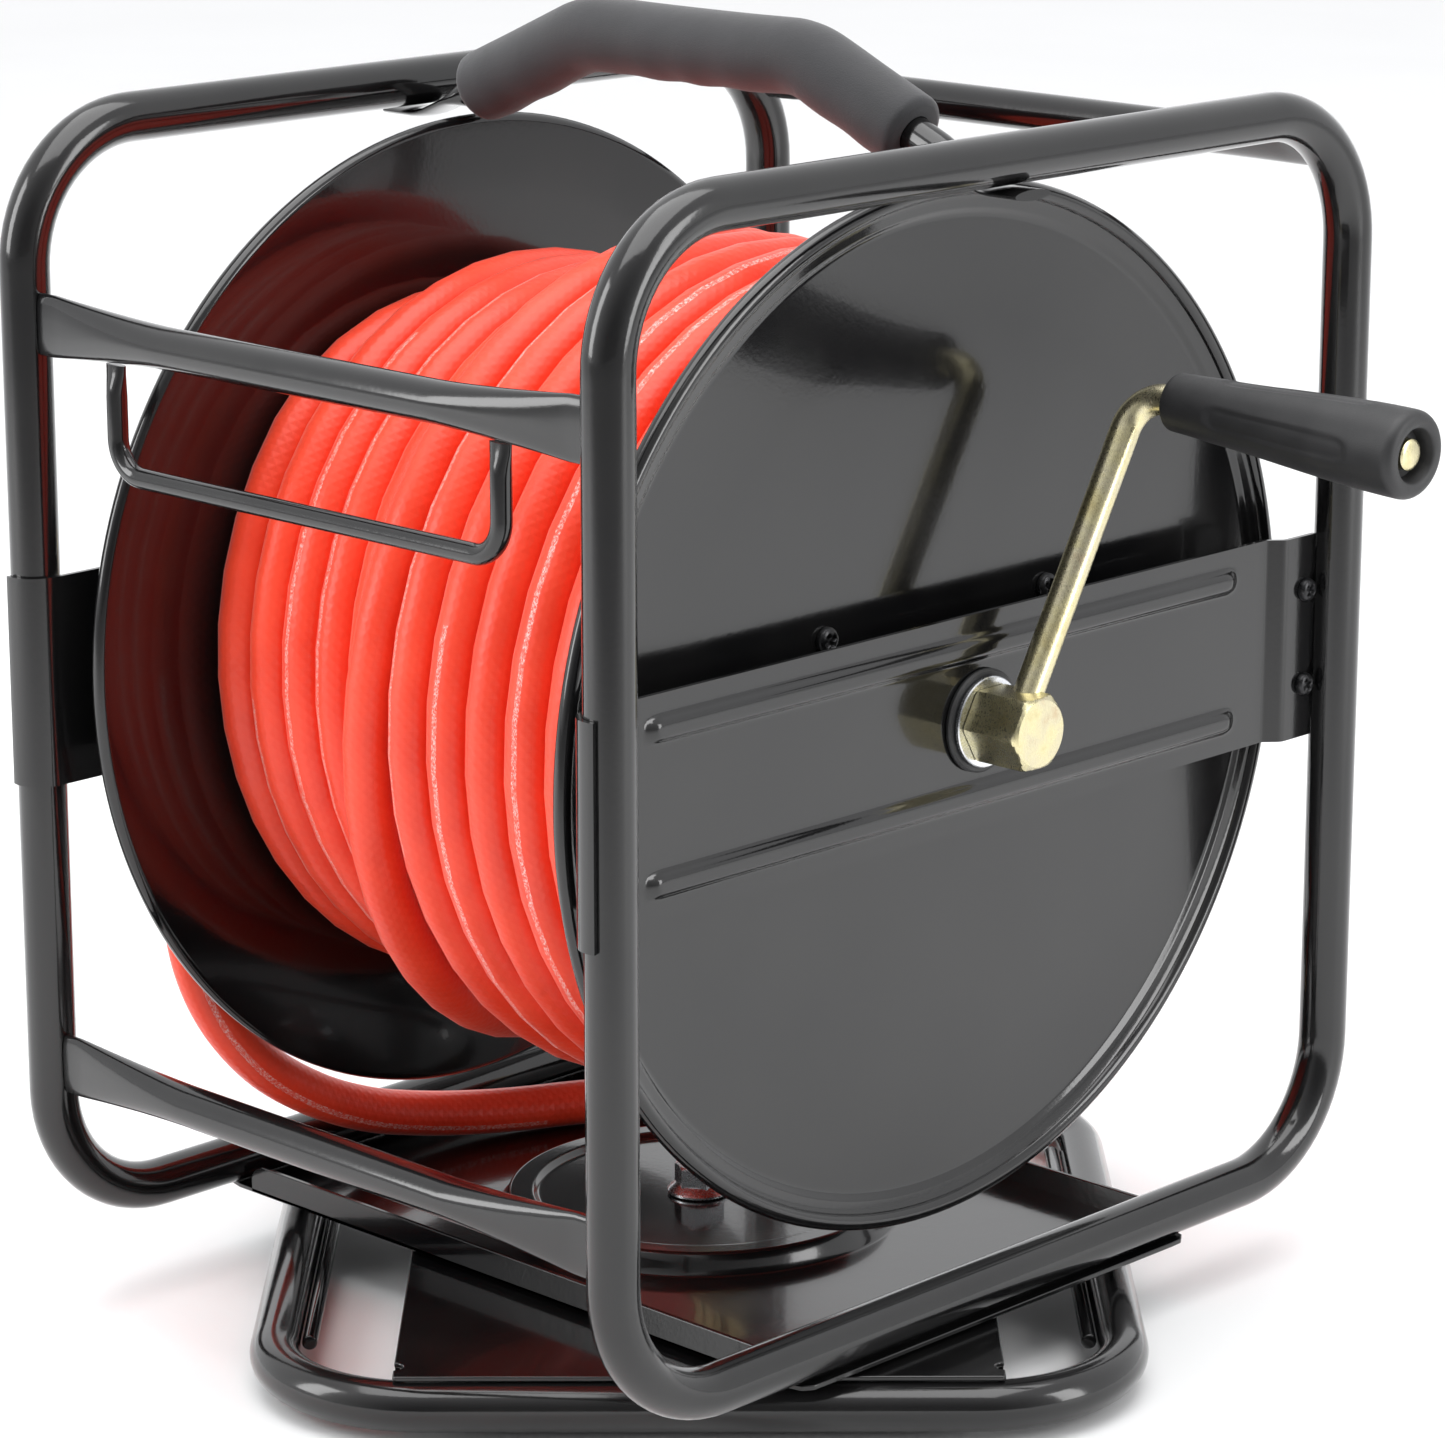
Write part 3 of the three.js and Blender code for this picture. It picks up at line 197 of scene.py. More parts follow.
def bright_zinc():
    m = Nodes("bright_zinc", Metallic=1.0)
    return grained(m, 90, 4, (0.60, 0.62, 0.65), (0.76, 0.77, 0.78), 1900, (0.18, 0.32), 0.00005, 0.4)


def brass():
    m = Nodes("brass", Metallic=1.0)
    return grained(m, 80, 4, (0.62, 0.47, 0.22), (0.76, 0.62, 0.32), 1700, (0.2, 0.34), 0.00005, 0.4)


def black_steel():
    m = Nodes("black_steel", Metallic=0.6)
    cloud = m.noise(300, detail=4)
    return m.finished(m.tones(cloud, (0.012, 0.012, 0.013), (0.03, 0.03, 0.032)), cloud, (0.22, 0.36),
                      m.bump(m.noise(2200), 0.00005, 0.4))


def rubber():
    m = Nodes("rubber", Specular_IOR_Level=0.3)
    cloud = m.noise(200, detail=4)
    return m.finished(m.tones(cloud, (0.008, 0.008, 0.008), (0.02, 0.02, 0.02)), cloud, (0.7, 0.85),
                      m.bump(m.noise(1800, detail=3), 0.0001, 0.5))


def foam():
    """Closed-cell foam: fine pores over soft, wider dents."""
    m = Nodes("foam", Specular_IOR_Level=0.35, Sheen_Weight=0.25, Sheen_Roughness=0.5)
    cells = m.feed(m.add("ShaderNodeTexVoronoi"), Scale=1500.0, Vector=m.object_point).outputs["Distance"]
    pores = m.math("ADD", m.math("MULTIPLY", cells, 0.7), m.noise(3200))
    cloud = m.noise(45, detail=4)
    return m.finished(m.tones(cloud, (0.016, 0.016, 0.018), (0.028, 0.028, 0.031)), cloud, (0.6, 0.74),
                      m.bump(pores, 0.0003, 0.35, m.bump(m.noise(120), 0.0006, 0.3)))


def yellow_zinc():
    """Yellow zinc plate, in patches of gold, straw and brown, with a grain drawn out along Z."""
    m = Nodes("yellow_zinc", Metallic=1.0)
    drawn = m.feed(m.add("ShaderNodeMapping"), Vector=m.object_point)
    drawn.inputs["Scale"].default_value = (1, 1, 0.2)
    grain = m.noise(2200, detail=3, point=drawn.outputs[0])
    patches = m.colours(m.noise(70, detail=5, roughness=0.6), (0.25, (0.52, 0.44, 0.22)),
                        (0.45, (0.66, 0.60, 0.36)), (0.6, (0.60, 0.55, 0.38)), (0.8, (0.50, 0.36, 0.22)))
    dents = m.bump(m.noise(260), 0.0002, 0.3)
    return m.finished(patches, grain, (0.22, 0.38), m.bump(grain, 0.00006, 0.5, dents))


BRAID_STRANDS = 12  # round the hose
BRAID_PER_METRE = 210
PRINT_PLACE, PRINT_HALF = 0.42, 0.021  # where the printed line runs and half its width, in turns
PRINT_GROUPS = 1.37  # per metre


def hose_red():
    """Red hose: a faint diagonal braid shows through the cover, and a broken white line runs along it.
    The U coordinate is the length in metres and V goes once round."""
    m = Nodes("hose_red", Specular_IOR_Level=0.45, Subsurface_Weight=0.12, Subsurface_Scale=0.004,
              Sheen_Weight=0.15, Sheen_Roughness=0.4)
    m.shader.inputs["Subsurface Radius"].default_value = (1.0, 0.25, 0.15)
    split = m.feed(m.add("ShaderNodeSeparateXYZ"), Vector=m.add("ShaderNodeTexCoord").outputs["UV"])
    along, around = split.outputs["X"], split.outputs["Y"]
    turns = m.math("MULTIPLY", around, 2 * math.pi * BRAID_STRANDS)
    lay = m.math("MULTIPLY", along, 2 * math.pi * BRAID_PER_METRE)
    braid = m.math("MAXIMUM", *(m.math("SINE", m.math(way, lay, turns)) for way in ("ADD", "SUBTRACT")))
    cloud = m.noise(30, detail=4)
    # short white marks on the line, in groups, more worn in places
    turned_to = m.math("FRACT", m.math("ADD", around, PRINT_PLACE))
    on_line = m.math("LESS_THAN", m.math("ABSOLUTE", m.math("SUBTRACT", turned_to, 0.5)), PRINT_HALF)
    spot = m.feed(m.add("ShaderNodeCombineXYZ"), X=along, Y=m.math("MULTIPLY", around, 0.25)).outputs[0]
    marks = m.math("GREATER_THAN", m.noise(900, detail=1, point=spot), 0.5)
    group = m.math("LESS_THAN", m.math("FRACT", m.math("MULTIPLY", along, PRINT_GROUPS)), 0.5)
    printed = m.math("MULTIPLY", m.math("MULTIPLY", on_line, marks), group)
    worn = m.math("MULTIPLY", printed, m.spread(m.noise(700), 0.1, 0.7, 0.35, 0.6))
    mix = m.feed(m.add("ShaderNodeMix", data_type="RGBA"), Factor=worn)
    # a mix of colours has its two colours at inputs 6 and 7, and gives output 2
    m.tree.links.new(m.tones(cloud, (0.80, 0.046, 0.014), (0.90, 0.064, 0.022)), mix.inputs[6])
    mix.inputs[7].default_value = (0.85, 0.72, 0.68, 1)
    return m.finished(mix.outputs[2], cloud, (0.36, 0.46),
                      m.bump(braid, 0.00009, 0.5, m.bump(m.noise(160), 0.0003, 0.25)))


MATERIALS = {
    maker.__name__: maker()
    for maker in (black_paint, black_plastic, foam, hose_red, yellow_zinc, bright_zinc, brass, black_steel,
                  rubber)
}

# ---- Mesh helpers --------------------


def piece(name, points, faces, body, finish, replaces=(), sharp=38, bevel=0.0, uvs=None):
    """A mesh piece with smooth faces, sharp where they meet at more than sharp degrees."""
    mesh = bpy.data.meshes.new(name)
    mesh.from_pydata([tuple(p) for p in points], [], faces)
    if uvs is not None:
        layer = mesh.uv_layers.new(name="UVMap")
        layer.data.foreach_set("uv", np.asarray(uvs, np.float32).ravel())
    work = bmesh.new()
    work.from_mesh(mesh)
    if uvs is None:
        bmesh.ops.remove_doubles(work, verts=work.verts, dist=1e-6)
        bmesh.ops.recalc_face_normals(work, faces=work.faces)
    work.to_mesh(mesh)
    work.free()
    mesh.shade_smooth()
    mesh.set_sharp_from_angle(angle=math.radians(sharp))
    mesh.materials.append(MATERIALS[finish])
    made = bpy.data.objects.new(name, mesh)
    bpy.context.scene.collection.objects.link(made)
    if bevel:
        rounded = made.modifiers.new("rounded_edges", "BEVEL")
        rounded.width = bevel
        rounded.segments = 2
        rounded.limit_method = "ANGLE"
        rounded.angle_limit = math.radians(sharp)
        rounded.harden_normals = False
    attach(made, body)
    if replaces:
        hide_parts(*replaces)
    return made


def angles(count):
    """Equal steps once round, in radians."""
    return [2 * math.pi * k / count for k in range(count)]


def circle(radius, z, sides):
    return [Vector((radius * math.cos(a), radius * math.sin(a), z)) for a in angles(sides)]


def merged(*parts):
    """Several (points, faces) as one."""
    points, faces = [], []
    for part_points, part_faces in parts:
        shift = len(points)
        points += list(part_points)
        faces += [[i + shift for i in face] for face in part_faces]
    return points, faces


def placed(part, matrix):
    points, faces = part
    return [matrix @ Vector(p) for p in points], faces


def lofted(rings, closed=False):
    """Points and faces of a surface through rings of equal count, with flat ends unless it is closed."""
    sides = len(rings[0])
    points = [p for ring in rings for p in ring]
    faces = []
    for i in range(len(rings) if closed else len(rings) - 1):
        near, far = i * sides, ((i + 1) % len(rings)) * sides
        for j in range(sides):
            k = (j + 1) % sides
            faces.append([near + j, near + k, far + k, far + j])
    if not closed:
        faces.append(list(range(sides))[::-1])
        faces.append([len(points) - sides + j for j in range(sides)])
    return points, faces


def bent_path(corners, path_radius, closed=False, steps=14, radii=()):
    """Stations (point, direction) along straight runs joined by bends. radii names a corner's own radius."""
    count = len(corners)
    stations = []
    for i, here in enumerate(corners):
        before, after = corners[i - 1], corners[(i + 1) % count]
        into, out = (here - before).normalized(), (after - here).normalized()
        if not closed and i == 0:
            stations.append((here, out))
            continue
        if not closed and i == count - 1:
            stations.append((here, into))
            continue
        radius = dict(radii).get(i, path_radius)
        turn = into.angle(out)
        axis = into.cross(out).normalized()
        start = here - into * radius * math.tan(turn / 2)
        middle = start + axis.cross(into) * radius
        for k in range(steps + 1):
            spin = Matrix.Rotation(turn * k / steps, 3, axis)
            stations.append((middle + spin @ (start - middle), spin @ into))
    return stations


def oval(station, normal, across, high, sides=28):
    point, along = station
    side = normal.cross(along)
    return [point + side * across * math.cos(a) + normal * high * math.sin(a)
            for a in (2 * math.pi * (k + 0.5) / sides for k in range(sides))]


def closed_tube(stations, normal, radius):
    return lofted([oval(station, normal, radius, radius) for station in stations], closed=True)


def with_stops(stations, places, key):
    """The stations with more added on straight runs where key(point) takes each of the places."""
    made = list(stations)
    for place in places:
        for i in range(1, len(made)):
            a, b = key(made[i - 1][0]), key(made[i][0])
            if (a - place) * (b - place) < 0:
                share = (place - a) / (b - a)
                made.insert(i, (made[i - 1][0].lerp(made[i][0], share), made[i - 1][1]))
                break
    return made


def turned(profile, segments):
    """A profile of (radius, height) turned round Z. It starts and ends on the axis, or closes on itself."""
    open_end = profile[0][0] == 0 and profile[-1][0] == 0
    points = [Vector((r * math.cos(a), r * math.sin(a), h)) for a in angles(segments) for r, h in profile]
    faces, count = [], len(profile)
    for k in range(segments):
        near, far = k * count, ((k + 1) % segments) * count
        for j in range(count - 1 if open_end else count):
            n = (j + 1) % count
            faces.append([near + j, far + j, far + n, near + n])
    return clean(points, faces)


def clean(points, faces):
    """Merges points that fall together, such as those on an axis."""
    index, kept, moved = {}, [], []
    for p in points:
        key = tuple(round(c * 1e7) for c in p)
        if key not in index:
            index[key] = len(kept)
            kept.append(p)
        moved.append(index[key])
    tidy = []
    for face in faces:
        ring = [moved[i] for i in face]
        ring = [v for i, v in enumerate(ring) if v != ring[i - 1]]
        if len(set(ring)) > 2:
            tidy.append(ring)
    return kept, tidy


def arc(cx, cy, radius, start, end, steps):
    """Points (cx + r cos, cy + r sin) from start to end degrees."""
    return [(cx + radius * math.cos(math.radians(a)), cy + radius * math.sin(math.radians(a)))
            for a in np.linspace(start, end, steps + 1)]


def along_x(x=0.0, y=0.0, z=None):
    """Turns a piece made along Z to lie along X, at a place on the axle's line unless said otherwise."""
    return Matrix.Translation((x, y, AXLE_Z if z is None else z)) @ Matrix.Rotation(math.pi / 2, 4, "Y")


MIRROR = Matrix.Scale(-1, 4, X)
SIDES = (("crank", Matrix.Identity(4)), ("inlet", MIRROR))


def slab(outline, thickness, z=0.0):
    """A flat plate from an outline of (x, y)."""
    return lofted([[Vector((x, y, level)) for x, y in outline] for level in (z, z + thickness)])


def rounded_rectangle(width, height, radius):
    x, y = width / 2 - radius, height / 2 - radius
    corners = ((x, y, 0), (-x, y, 90), (-x, -y, 180), (x, -y, 270))
    return [spot for cx, cy, start in corners for spot in arc(cx, cy, radius, start, start + 90, 8)]


# ---- Hose: the winding and the lead-in ----------------------------------------------------------------

RINGS_PER_TURN = 44
HOSE_SIDES = 18
CORE_R = size("drum_core").y / 2


def hose_mesh(name, points, reference, body):
    """A round hose along points. reference(i) is the direction in which V is 0 at point i."""
    path = [Vector(p) for p in points]
    rings, lengths, length = [], [], 0.0
    for i, p in enumerate(path):
        ahead = path[min(i + 1, len(path) - 1)]
        behind = path[max(i - 1, 0)]
        way = (ahead - behind).normalized()
        out = reference(i)
        out = (out - way * out.dot(way)).normalized()
        side = way.cross(out)
        if i:
            length += (p - path[i - 1]).length
        lengths.append(length)
        rings.append([p + HOSE_R * (out * math.cos(a) + side * math.sin(a)) for a in angles(HOSE_SIDES)])
    verts, faces = lofted(rings)
    uvs = []
    for i in range(len(rings) - 1):
        for j in range(HOSE_SIDES):
            a, b = j / HOSE_SIDES, (j + 1) / HOSE_SIDES
            uvs += [(lengths[i], a), (lengths[i], b), (lengths[i + 1], b), (lengths[i + 1], a)]
    uvs += [(0, 0.5)] * (2 * HOSE_SIDES)
    return piece(name, verts, faces, body, "hose_red", uvs=uvs), length


LAYER_TURNS = 13  # turns of each whole layer
TOP_PITCH = 0.021
TOP_TURNS = 6
LAST_TURN_FROM = math.radians(49)  # where the last turn starts to drift to the inlet side
COUPLING_TURN = math.radians(216)
STRAIGHTEN = math.radians(14)  # over which the drift dies away before the coupling
DRIFT = 0.0037e-3 * math.degrees(1) ** 2  # metres of drift per squared radian
CLIMB = math.radians(70)  # over which the hose rises from one layer to the next


def drift(angle):
    """How far the last turn has moved across. It gathers way, then comes square to the axle again."""
    steady_end = COUPLING_TURN - LAST_TURN_FROM - STRAIGHTEN
    turned_by = angle - LAST_TURN_FROM
    late = max(0, turned_by - steady_end)
    steady = max(0, min(turned_by, steady_end))
    return DRIFT * (steady ** 2 + 2 * steady_end * (late - late ** 2 / (2 * STRAIGHTEN)))


def winding_path():
    """The hose from the core out as (angle, x, radius): two whole layers, a looser top layer, and a last
    turn that drifts across. Angles are from the top of the drum, forward and down."""
    half = WIND_HALF - HOSE_R - GAP
    turn = 2 * math.pi
    second_end = LAST_TURN_FROM - turn * TOP_TURNS
    first_end = second_end - turn * LAYER_TURNS
    start = first_end - turn * LAYER_TURNS
    inner = CORE_R + HOSE_R + GAP
    outer = inner + 4 * HOSE_R
    across = LAYER_TURNS / (LAYER_TURNS - 1) / (turn * LAYER_TURNS)
    count = round((COUPLING_TURN - start) / turn * RINGS_PER_TURN)
    samples = []
    for i in range(count + 1):
        angle = start + (COUPLING_TURN - start) * i / count
        if angle < first_end:
            x = half - 2 * half * min(1, (angle - start) * across)
            radius = inner + 2 * HOSE_R * smooth((angle - first_end + CLIMB) / CLIMB)
        elif angle < second_end:
            x = -half + 2 * half * min(1, (angle - first_end) * across)
            radius = inner + 2 * HOSE_R * (1 + smooth((angle - second_end + CLIMB) / CLIMB))
        else:
            x = half - TOP_PITCH * (min(angle, LAST_TURN_FROM) - second_end) / turn
            x -= drift(angle)
            radius = outer
        samples.append((angle, x, radius))
    return samples


def smooth(t):
    t = min(1.0, max(0.0, t))
    return t * t * (3 - 2 * t)


def build_winding():
    samples = winding_path()
    outwards = [Vector((0, -math.sin(a), math.cos(a))) for a, _, _ in samples]
    points = [Vector((x, 0, AXLE_Z)) + out * r for (_, x, r), out in zip(samples, outwards)]
    # the printed line wanders round the hose as it lies on the drum
    twist = [0.55 * math.sin(i * 0.021) + 0.3 * math.sin(i * 0.0057) for i in range(len(samples))]

    def reference(i):
        return outwards[i] * math.cos(twist[i]) + X * math.sin(twist[i])

    coil, length = hose_mesh("wound_hose", points, reference, "drum")
    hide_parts("hose_coil")
    coupling = build_coupling(points[-1], X.cross(outwards[-1]))


def knurled(radius, depth, ridges, height):
    """A short ridged sleeve along Z."""
    rings = []
    for h, shrink in ((0, depth), (depth, 0), (height - depth, 0), (height, depth)):
        ring = []
        for a in angles(4 * ridges):
            r = radius - shrink - depth * 0.5 * (1 - math.cos(a * ridges))
            ring.append(Vector((r * math.cos(a), r * math.sin(a), h)))
        rings.append(ring)
    return lofted(rings)


def grooves(radius, depth, starts, width, edge=0.0006):
    """The part of a turned profile with a groove from each start. edge is the length of a groove's side."""
    floor = radius - depth
    made = []
    for z in starts:
        made += [(radius, z), (floor, z + edge), (floor, z + edge + width), (radius, z + 2 * edge + width)]
    return made


def pointing(at, way):
    return Matrix.Translation(at) @ way.to_track_quat("Z", "Y").to_matrix().to_4x4()


def build_coupling(at, way):
    """The push-on coupling on the hose's end: a ferrule, a ridged sliding sleeve and a mouth."""
    outer, length, edge = 0.0102, 0.0192, 0.0006
    ferrule = turned([(0, 0), (0.0098, 0), (outer, edge), *grooves(outer, 0.0007, (0.0046, 0.0126), 0.0016),
                      (outer, length - edge), (0.0094, length), (0, length)], 48)
    neck = turned([(0, 0.0188), (0.0074, 0.0188), (0.0074, 0.026), (0, 0.026)], 40)
    sleeve = placed(knurled(0.0105, 0.0006, 28, 0.013), Matrix.Translation((0, 0, 0.0255)))
    bore, end = 0.0054, 0.0452
    mouth = turned([(0, 0.038), (0.0088, 0.038), (0.0088, end - 0.001), (0.0078, end), (bore, end),
                    (bore, 0.040), (0, 0.040)], 40)
    shape = placed(merged(ferrule, neck, sleeve, mouth), pointing(at, way))
    return piece("end_coupling", *shape, "drum", "brass", ["hose_coupling"])


# The lead-in hose's points, as in the CAD source: X from the loop's middle, Y, and the share of the way up
# from lying on the deck to the axle.
LEAD_POINTS = [
    (-0.0087, -0.0800, 0.865), (-0.0067, -0.1045, 0.793), (-0.0042, -0.1230, 0.694),
    (-0.0012, -0.1335, 0.568), (0.0018, -0.1340, 0.430), (0.0048, -0.1240, 0.300),
    (0.0088, -0.1055, 0.189), (0.0133, -0.0815, 0.108), (0.0188, -0.0560, 0.054),
    (0.0248, -0.0315, 0.025), (0.0323, -0.0085, 0.009), (0.0403, 0.0120, 0.002),
    (0.0488, 0.0315, 0.000), (0.0583, 0.0490, 0.000), (0.0688, 0.0655, 0.000),
]
LEAD_REST_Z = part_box("deck_plate")[0].z + 0.002 + GAP + HOSE_R
INLET_DIP = math.radians(20)
INLET_WAY = Vector((0, -math.cos(INLET_DIP), -math.sin(INLET_DIP)))
UNION_X = centre("inlet_union").x
LEAD_START = 0.0426  # from the axle's line to the hose's end in its ferrule


def catmull_rom(points, per_span):
    """Points on a centripetal curve through the given ones."""
    pts = [2 * points[0] - points[1], *points, 2 * points[-1] - points[-2]]
    made = []
    for i in range(1, len(pts) - 2):
        a, b, c, d = pts[i - 1:i + 3]
        t0 = 0.0
        t1 = t0 + (b - a).length ** 0.5
        t2 = t1 + (c - b).length ** 0.5
        t3 = t2 + (d - c).length ** 0.5
        for k in range(per_span):
            t = t1 + (t2 - t1) * k / per_span
            ab = a.lerp(b, (t - t0) / (t1 - t0))
            bc = b.lerp(c, (t - t1) / (t2 - t1))
            cd = c.lerp(d, (t - t2) / (t3 - t2))
            abc = ab.lerp(bc, (t - t0) / (t2 - t0))
            bcd = bc.lerp(cd, (t - t1) / (t3 - t1))
            made.append(abc.lerp(bcd, (t - t1) / (t2 - t1)))
    made.append(points[-1])
    return made


def build_lead_hose():
    origin = Vector((UNION_X, 0, AXLE_Z))
    ends = [origin + INLET_WAY * LEAD_START, origin + INLET_WAY * (LEAD_START + 0.010)]
    route = [Vector((x - LOOP_X, y, LEAD_REST_Z + (AXLE_Z - LEAD_REST_Z) * rise))
             for x, y, rise in LEAD_POINTS]
    points = catmull_rom(ends + route, 8)
    hose, length = hose_mesh("lead_in_hose", points, lambda i: X, "cage")
    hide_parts("lead_hose")
    plug_way = (points[-1] - points[-2]).normalized()
    plug = build_plug(points[-1], plug_way)


def build_plug(at, way):
    """The plug on the lead-in hose's far end: a ferrule, a hexagon and a grooved nose."""
    outer, half_flats = 0.0094, 0.0081
    groove = grooves(outer, 0.0006, (0.0045,), 0.0015, 0.0005)
    ferrule = turned([(0, GAP), (0.009, GAP), (outer, 0.0008), *groove, (outer, 0.0118),
                      (0.0088, 0.0123), (0.0088, 0.0138), (0.0084, 0.0143), (0, 0.0143)], 48)
    hexagon = arc(0, 0, half_flats / math.cos(math.radians(30)), 0, 300, 5)
    nut = slab(hexagon, 0.007, 0.0148)
    nose = turned([(0, 0.0218), (0.0062, 0.0218), (0.0062, 0.024), (0.0044, 0.0255), (0.0044, 0.0278),
                   (0.0058, 0.029), (0.0058, 0.0322), (0.0048, 0.0352), (0.0025, 0.0356), (0, 0.0356)], 40)
    shape = placed(merged(ferrule, nut, nose), pointing(at, way))
    return piece("lead_in_plug", *shape, "cage", "brass", ["lead_hose_plug"])


build_winding()
build_lead_hose()

# ---- Base --------------------

TURN = Matrix.Rotation(BASE_TURN, 4, "Z")
BASE_HALF_X = 0.164
BASE_HALF_Y = 0.173
BASE_BEND_R = 0.060
BASE_Z = centre("base_loop").z


def rectangle_path(half_a, half_b, make, bend):
    corners = [make(a * half_a, b * half_b) for a, b in ((-1, -1), (1, -1), (1, 1), (-1, 1))]
    return bent_path(corners, bend, closed=True, steps=16)


def build_base():
    path = rectangle_path(BASE_HALF_X, BASE_HALF_Y, lambda a, b: Vector((a, b, BASE_Z)), BASE_BEND_R)
    loop = placed(closed_tube(path, Z, TUBE_R), TURN)
    piece("base_frame", *loop, "base", "black_paint", ["base_loop"])


build_base()

# ---- Cage --------------------


def build_side_loops():
    middle_z = (BOTTOM_Z + TOP_Z) / 2
    path = rectangle_path(REAR_Y, (TOP_Z - BOTTOM_Z) / 2, lambda a, b: Vector((LOOP_X, a, middle_z + b)),
                          CAGE_BEND_R)
    for side, mirror in SIDES:
        loop = placed(closed_tube(path, X, TUBE_R), mirror)
        piece(f"{side}_loop", *loop, "cage", "black_paint", [f"{side}_side_loop"])


BAR_R = 0.008
BAR_FLAT = (0.012, 0.0025)  # half the height and half the thickness of a squashed end
BAR_FLAT_LENGTH = 0.008
BAR_SQUASH = 0.075
BAR_SIDES = 32


def crossbar(y, z, flat_up):
    reach = LOOP_X - TUBE_R - GAP
    across = flat_up.cross(X)
    insets = [0.0] + list(np.linspace(BAR_FLAT_LENGTH, BAR_SQUASH, 16))
    rings = []
    for x in [inset - reach for inset in insets] + [reach - inset for inset in reversed(insets)]:
        flat = 1 - min(1.0, max(0.0, (reach - abs(x) - BAR_FLAT_LENGTH) / (BAR_SQUASH - BAR_FLAT_LENGTH)))
        high = BAR_R + (BAR_FLAT[0] - BAR_R) * flat ** 1.5
        thin = BAR_R + (BAR_FLAT[1] - BAR_R) * flat ** 1.2
        power = 1 - 0.4 * flat
        ring = []
        for k in range(BAR_SIDES):
            angle = 2 * math.pi * (k + 0.5) / BAR_SIDES
            c, s = math.cos(angle), math.sin(angle)
            ring.append(Vector((x, y, z)) + flat_up * high * math.copysign(abs(c) ** power, c)
                        + across * thin * math.copysign(abs(s) ** power, s))
        rings.append(ring)
    return lofted(rings)


def build_crossbars():
    slant = Vector((0, 1, -1)).normalized()
    for name, flat_up in (("front_upper_bar", Z), ("front_lower_bar", Z), ("rear_upper_bar", slant)):
        at = centre(name)
        piece(name + "_tube", *crossbar(at.y, at.z, flat_up), "cage", "black_paint", [name])


GUIDE_HALF = 0.105
GUIDE_BEND_R = 0.014
GUIDE_CRIMP = 0.012  # the length over which each end is squashed


def build_guide():
    low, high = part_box("hose_guide_rod")
    radius = (high.y - low.y) / 2
    top, bottom = high.z, low.z + radius
    ends = ((-GUIDE_HALF, top), (-GUIDE_HALF, bottom), (GUIDE_HALF, bottom), (GUIDE_HALF, top))
    stations = bent_path([Vector((x, FRONT_Y, z)) for x, z in ends], GUIDE_BEND_R)
    drops = (0.004, 0.008, GUIDE_CRIMP)
    down = [(Vector((-GUIDE_HALF, FRONT_Y, top - drop)), stations[0][1]) for drop in drops]
    up = [(Vector((GUIDE_HALF, FRONT_Y, top - drop)), stations[-1][1]) for drop in reversed(drops)]
    rings = []
    for point, along in stations[:1] + down + stations[1:-1] + up + stations[-1:]:
        crimp = 1 - smooth((top - point.z) / GUIDE_CRIMP)
        rings.append(oval((point, along), Y, radius * (1 + 0.35 * crimp), radius * (1 - 0.5 * crimp), 24))
    piece("guide_rod", *lofted(rings), "cage", "black_paint", ["hose_guide_rod"])


HANDLE_BAR_R = 0.007
HANDLE_TAB_HALF = 0.002
HANDLE_FOOT_X = LOOP_X - 0.007
HANDLE_SLOPE = math.radians(23)
HANDLE_RISE = 0.0395
HANDLE_BEND_R = 0.045
HANDLE_ROUND_X = LOOP_X - 0.034  # round as far as here
HANDLE_FLAT_X = LOOP_X - 0.020  # and flat from here out
HANDLE_FOOT_BEND_R = 0.026
FOAM_R = 0.0146
FOAM_HALF = 0.117
FOAM_OFFSET = -0.005
FOAM_END_ROUND = 0.003
FOAM_BULGE_X, FOAM_BULGE_REACH = 0.060, 0.026  # where it bulges over the bends
FOAM_SIDES = 44


def handle_stations():
    low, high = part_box("handle_bar")
    tab_z = low.z + HANDLE_TAB_HALF
    top = tab_z + HANDLE_RISE
    middle_x = HANDLE_FOOT_X - HANDLE_RISE / math.tan(HANDLE_SLOPE)
    places = [(-high.x, tab_z), (-HANDLE_FOOT_X, tab_z), (-middle_x, top),
              (middle_x, top), (HANDLE_FOOT_X, tab_z), (high.x, tab_z)]
    corners = [Vector((x, 0, z)) for x, z in places]
    feet = ((1, HANDLE_FOOT_BEND_R), (4, HANDLE_FOOT_BEND_R))
    return bent_path(corners, HANDLE_BEND_R, steps=10, radii=feet)


def build_handle():
    stops = [side * x for side in (-1, 1) for x in np.linspace(HANDLE_ROUND_X, HANDLE_FLAT_X, 6)]
    rings = []
    for station in with_stops(handle_stations(), stops, lambda p: p.x):
        flat = smooth((abs(station[0].x) - HANDLE_ROUND_X) / (HANDLE_FLAT_X - HANDLE_ROUND_X))
        across = HANDLE_BAR_R + (HANDLE_TAB_HALF - HANDLE_BAR_R) * flat
        rings.append(oval(station, -Y, across, HANDLE_BAR_R * (1 + 0.4 * flat)))
    piece("handle_tube", *lofted(rings), "cage", "black_paint", ["handle_bar"])


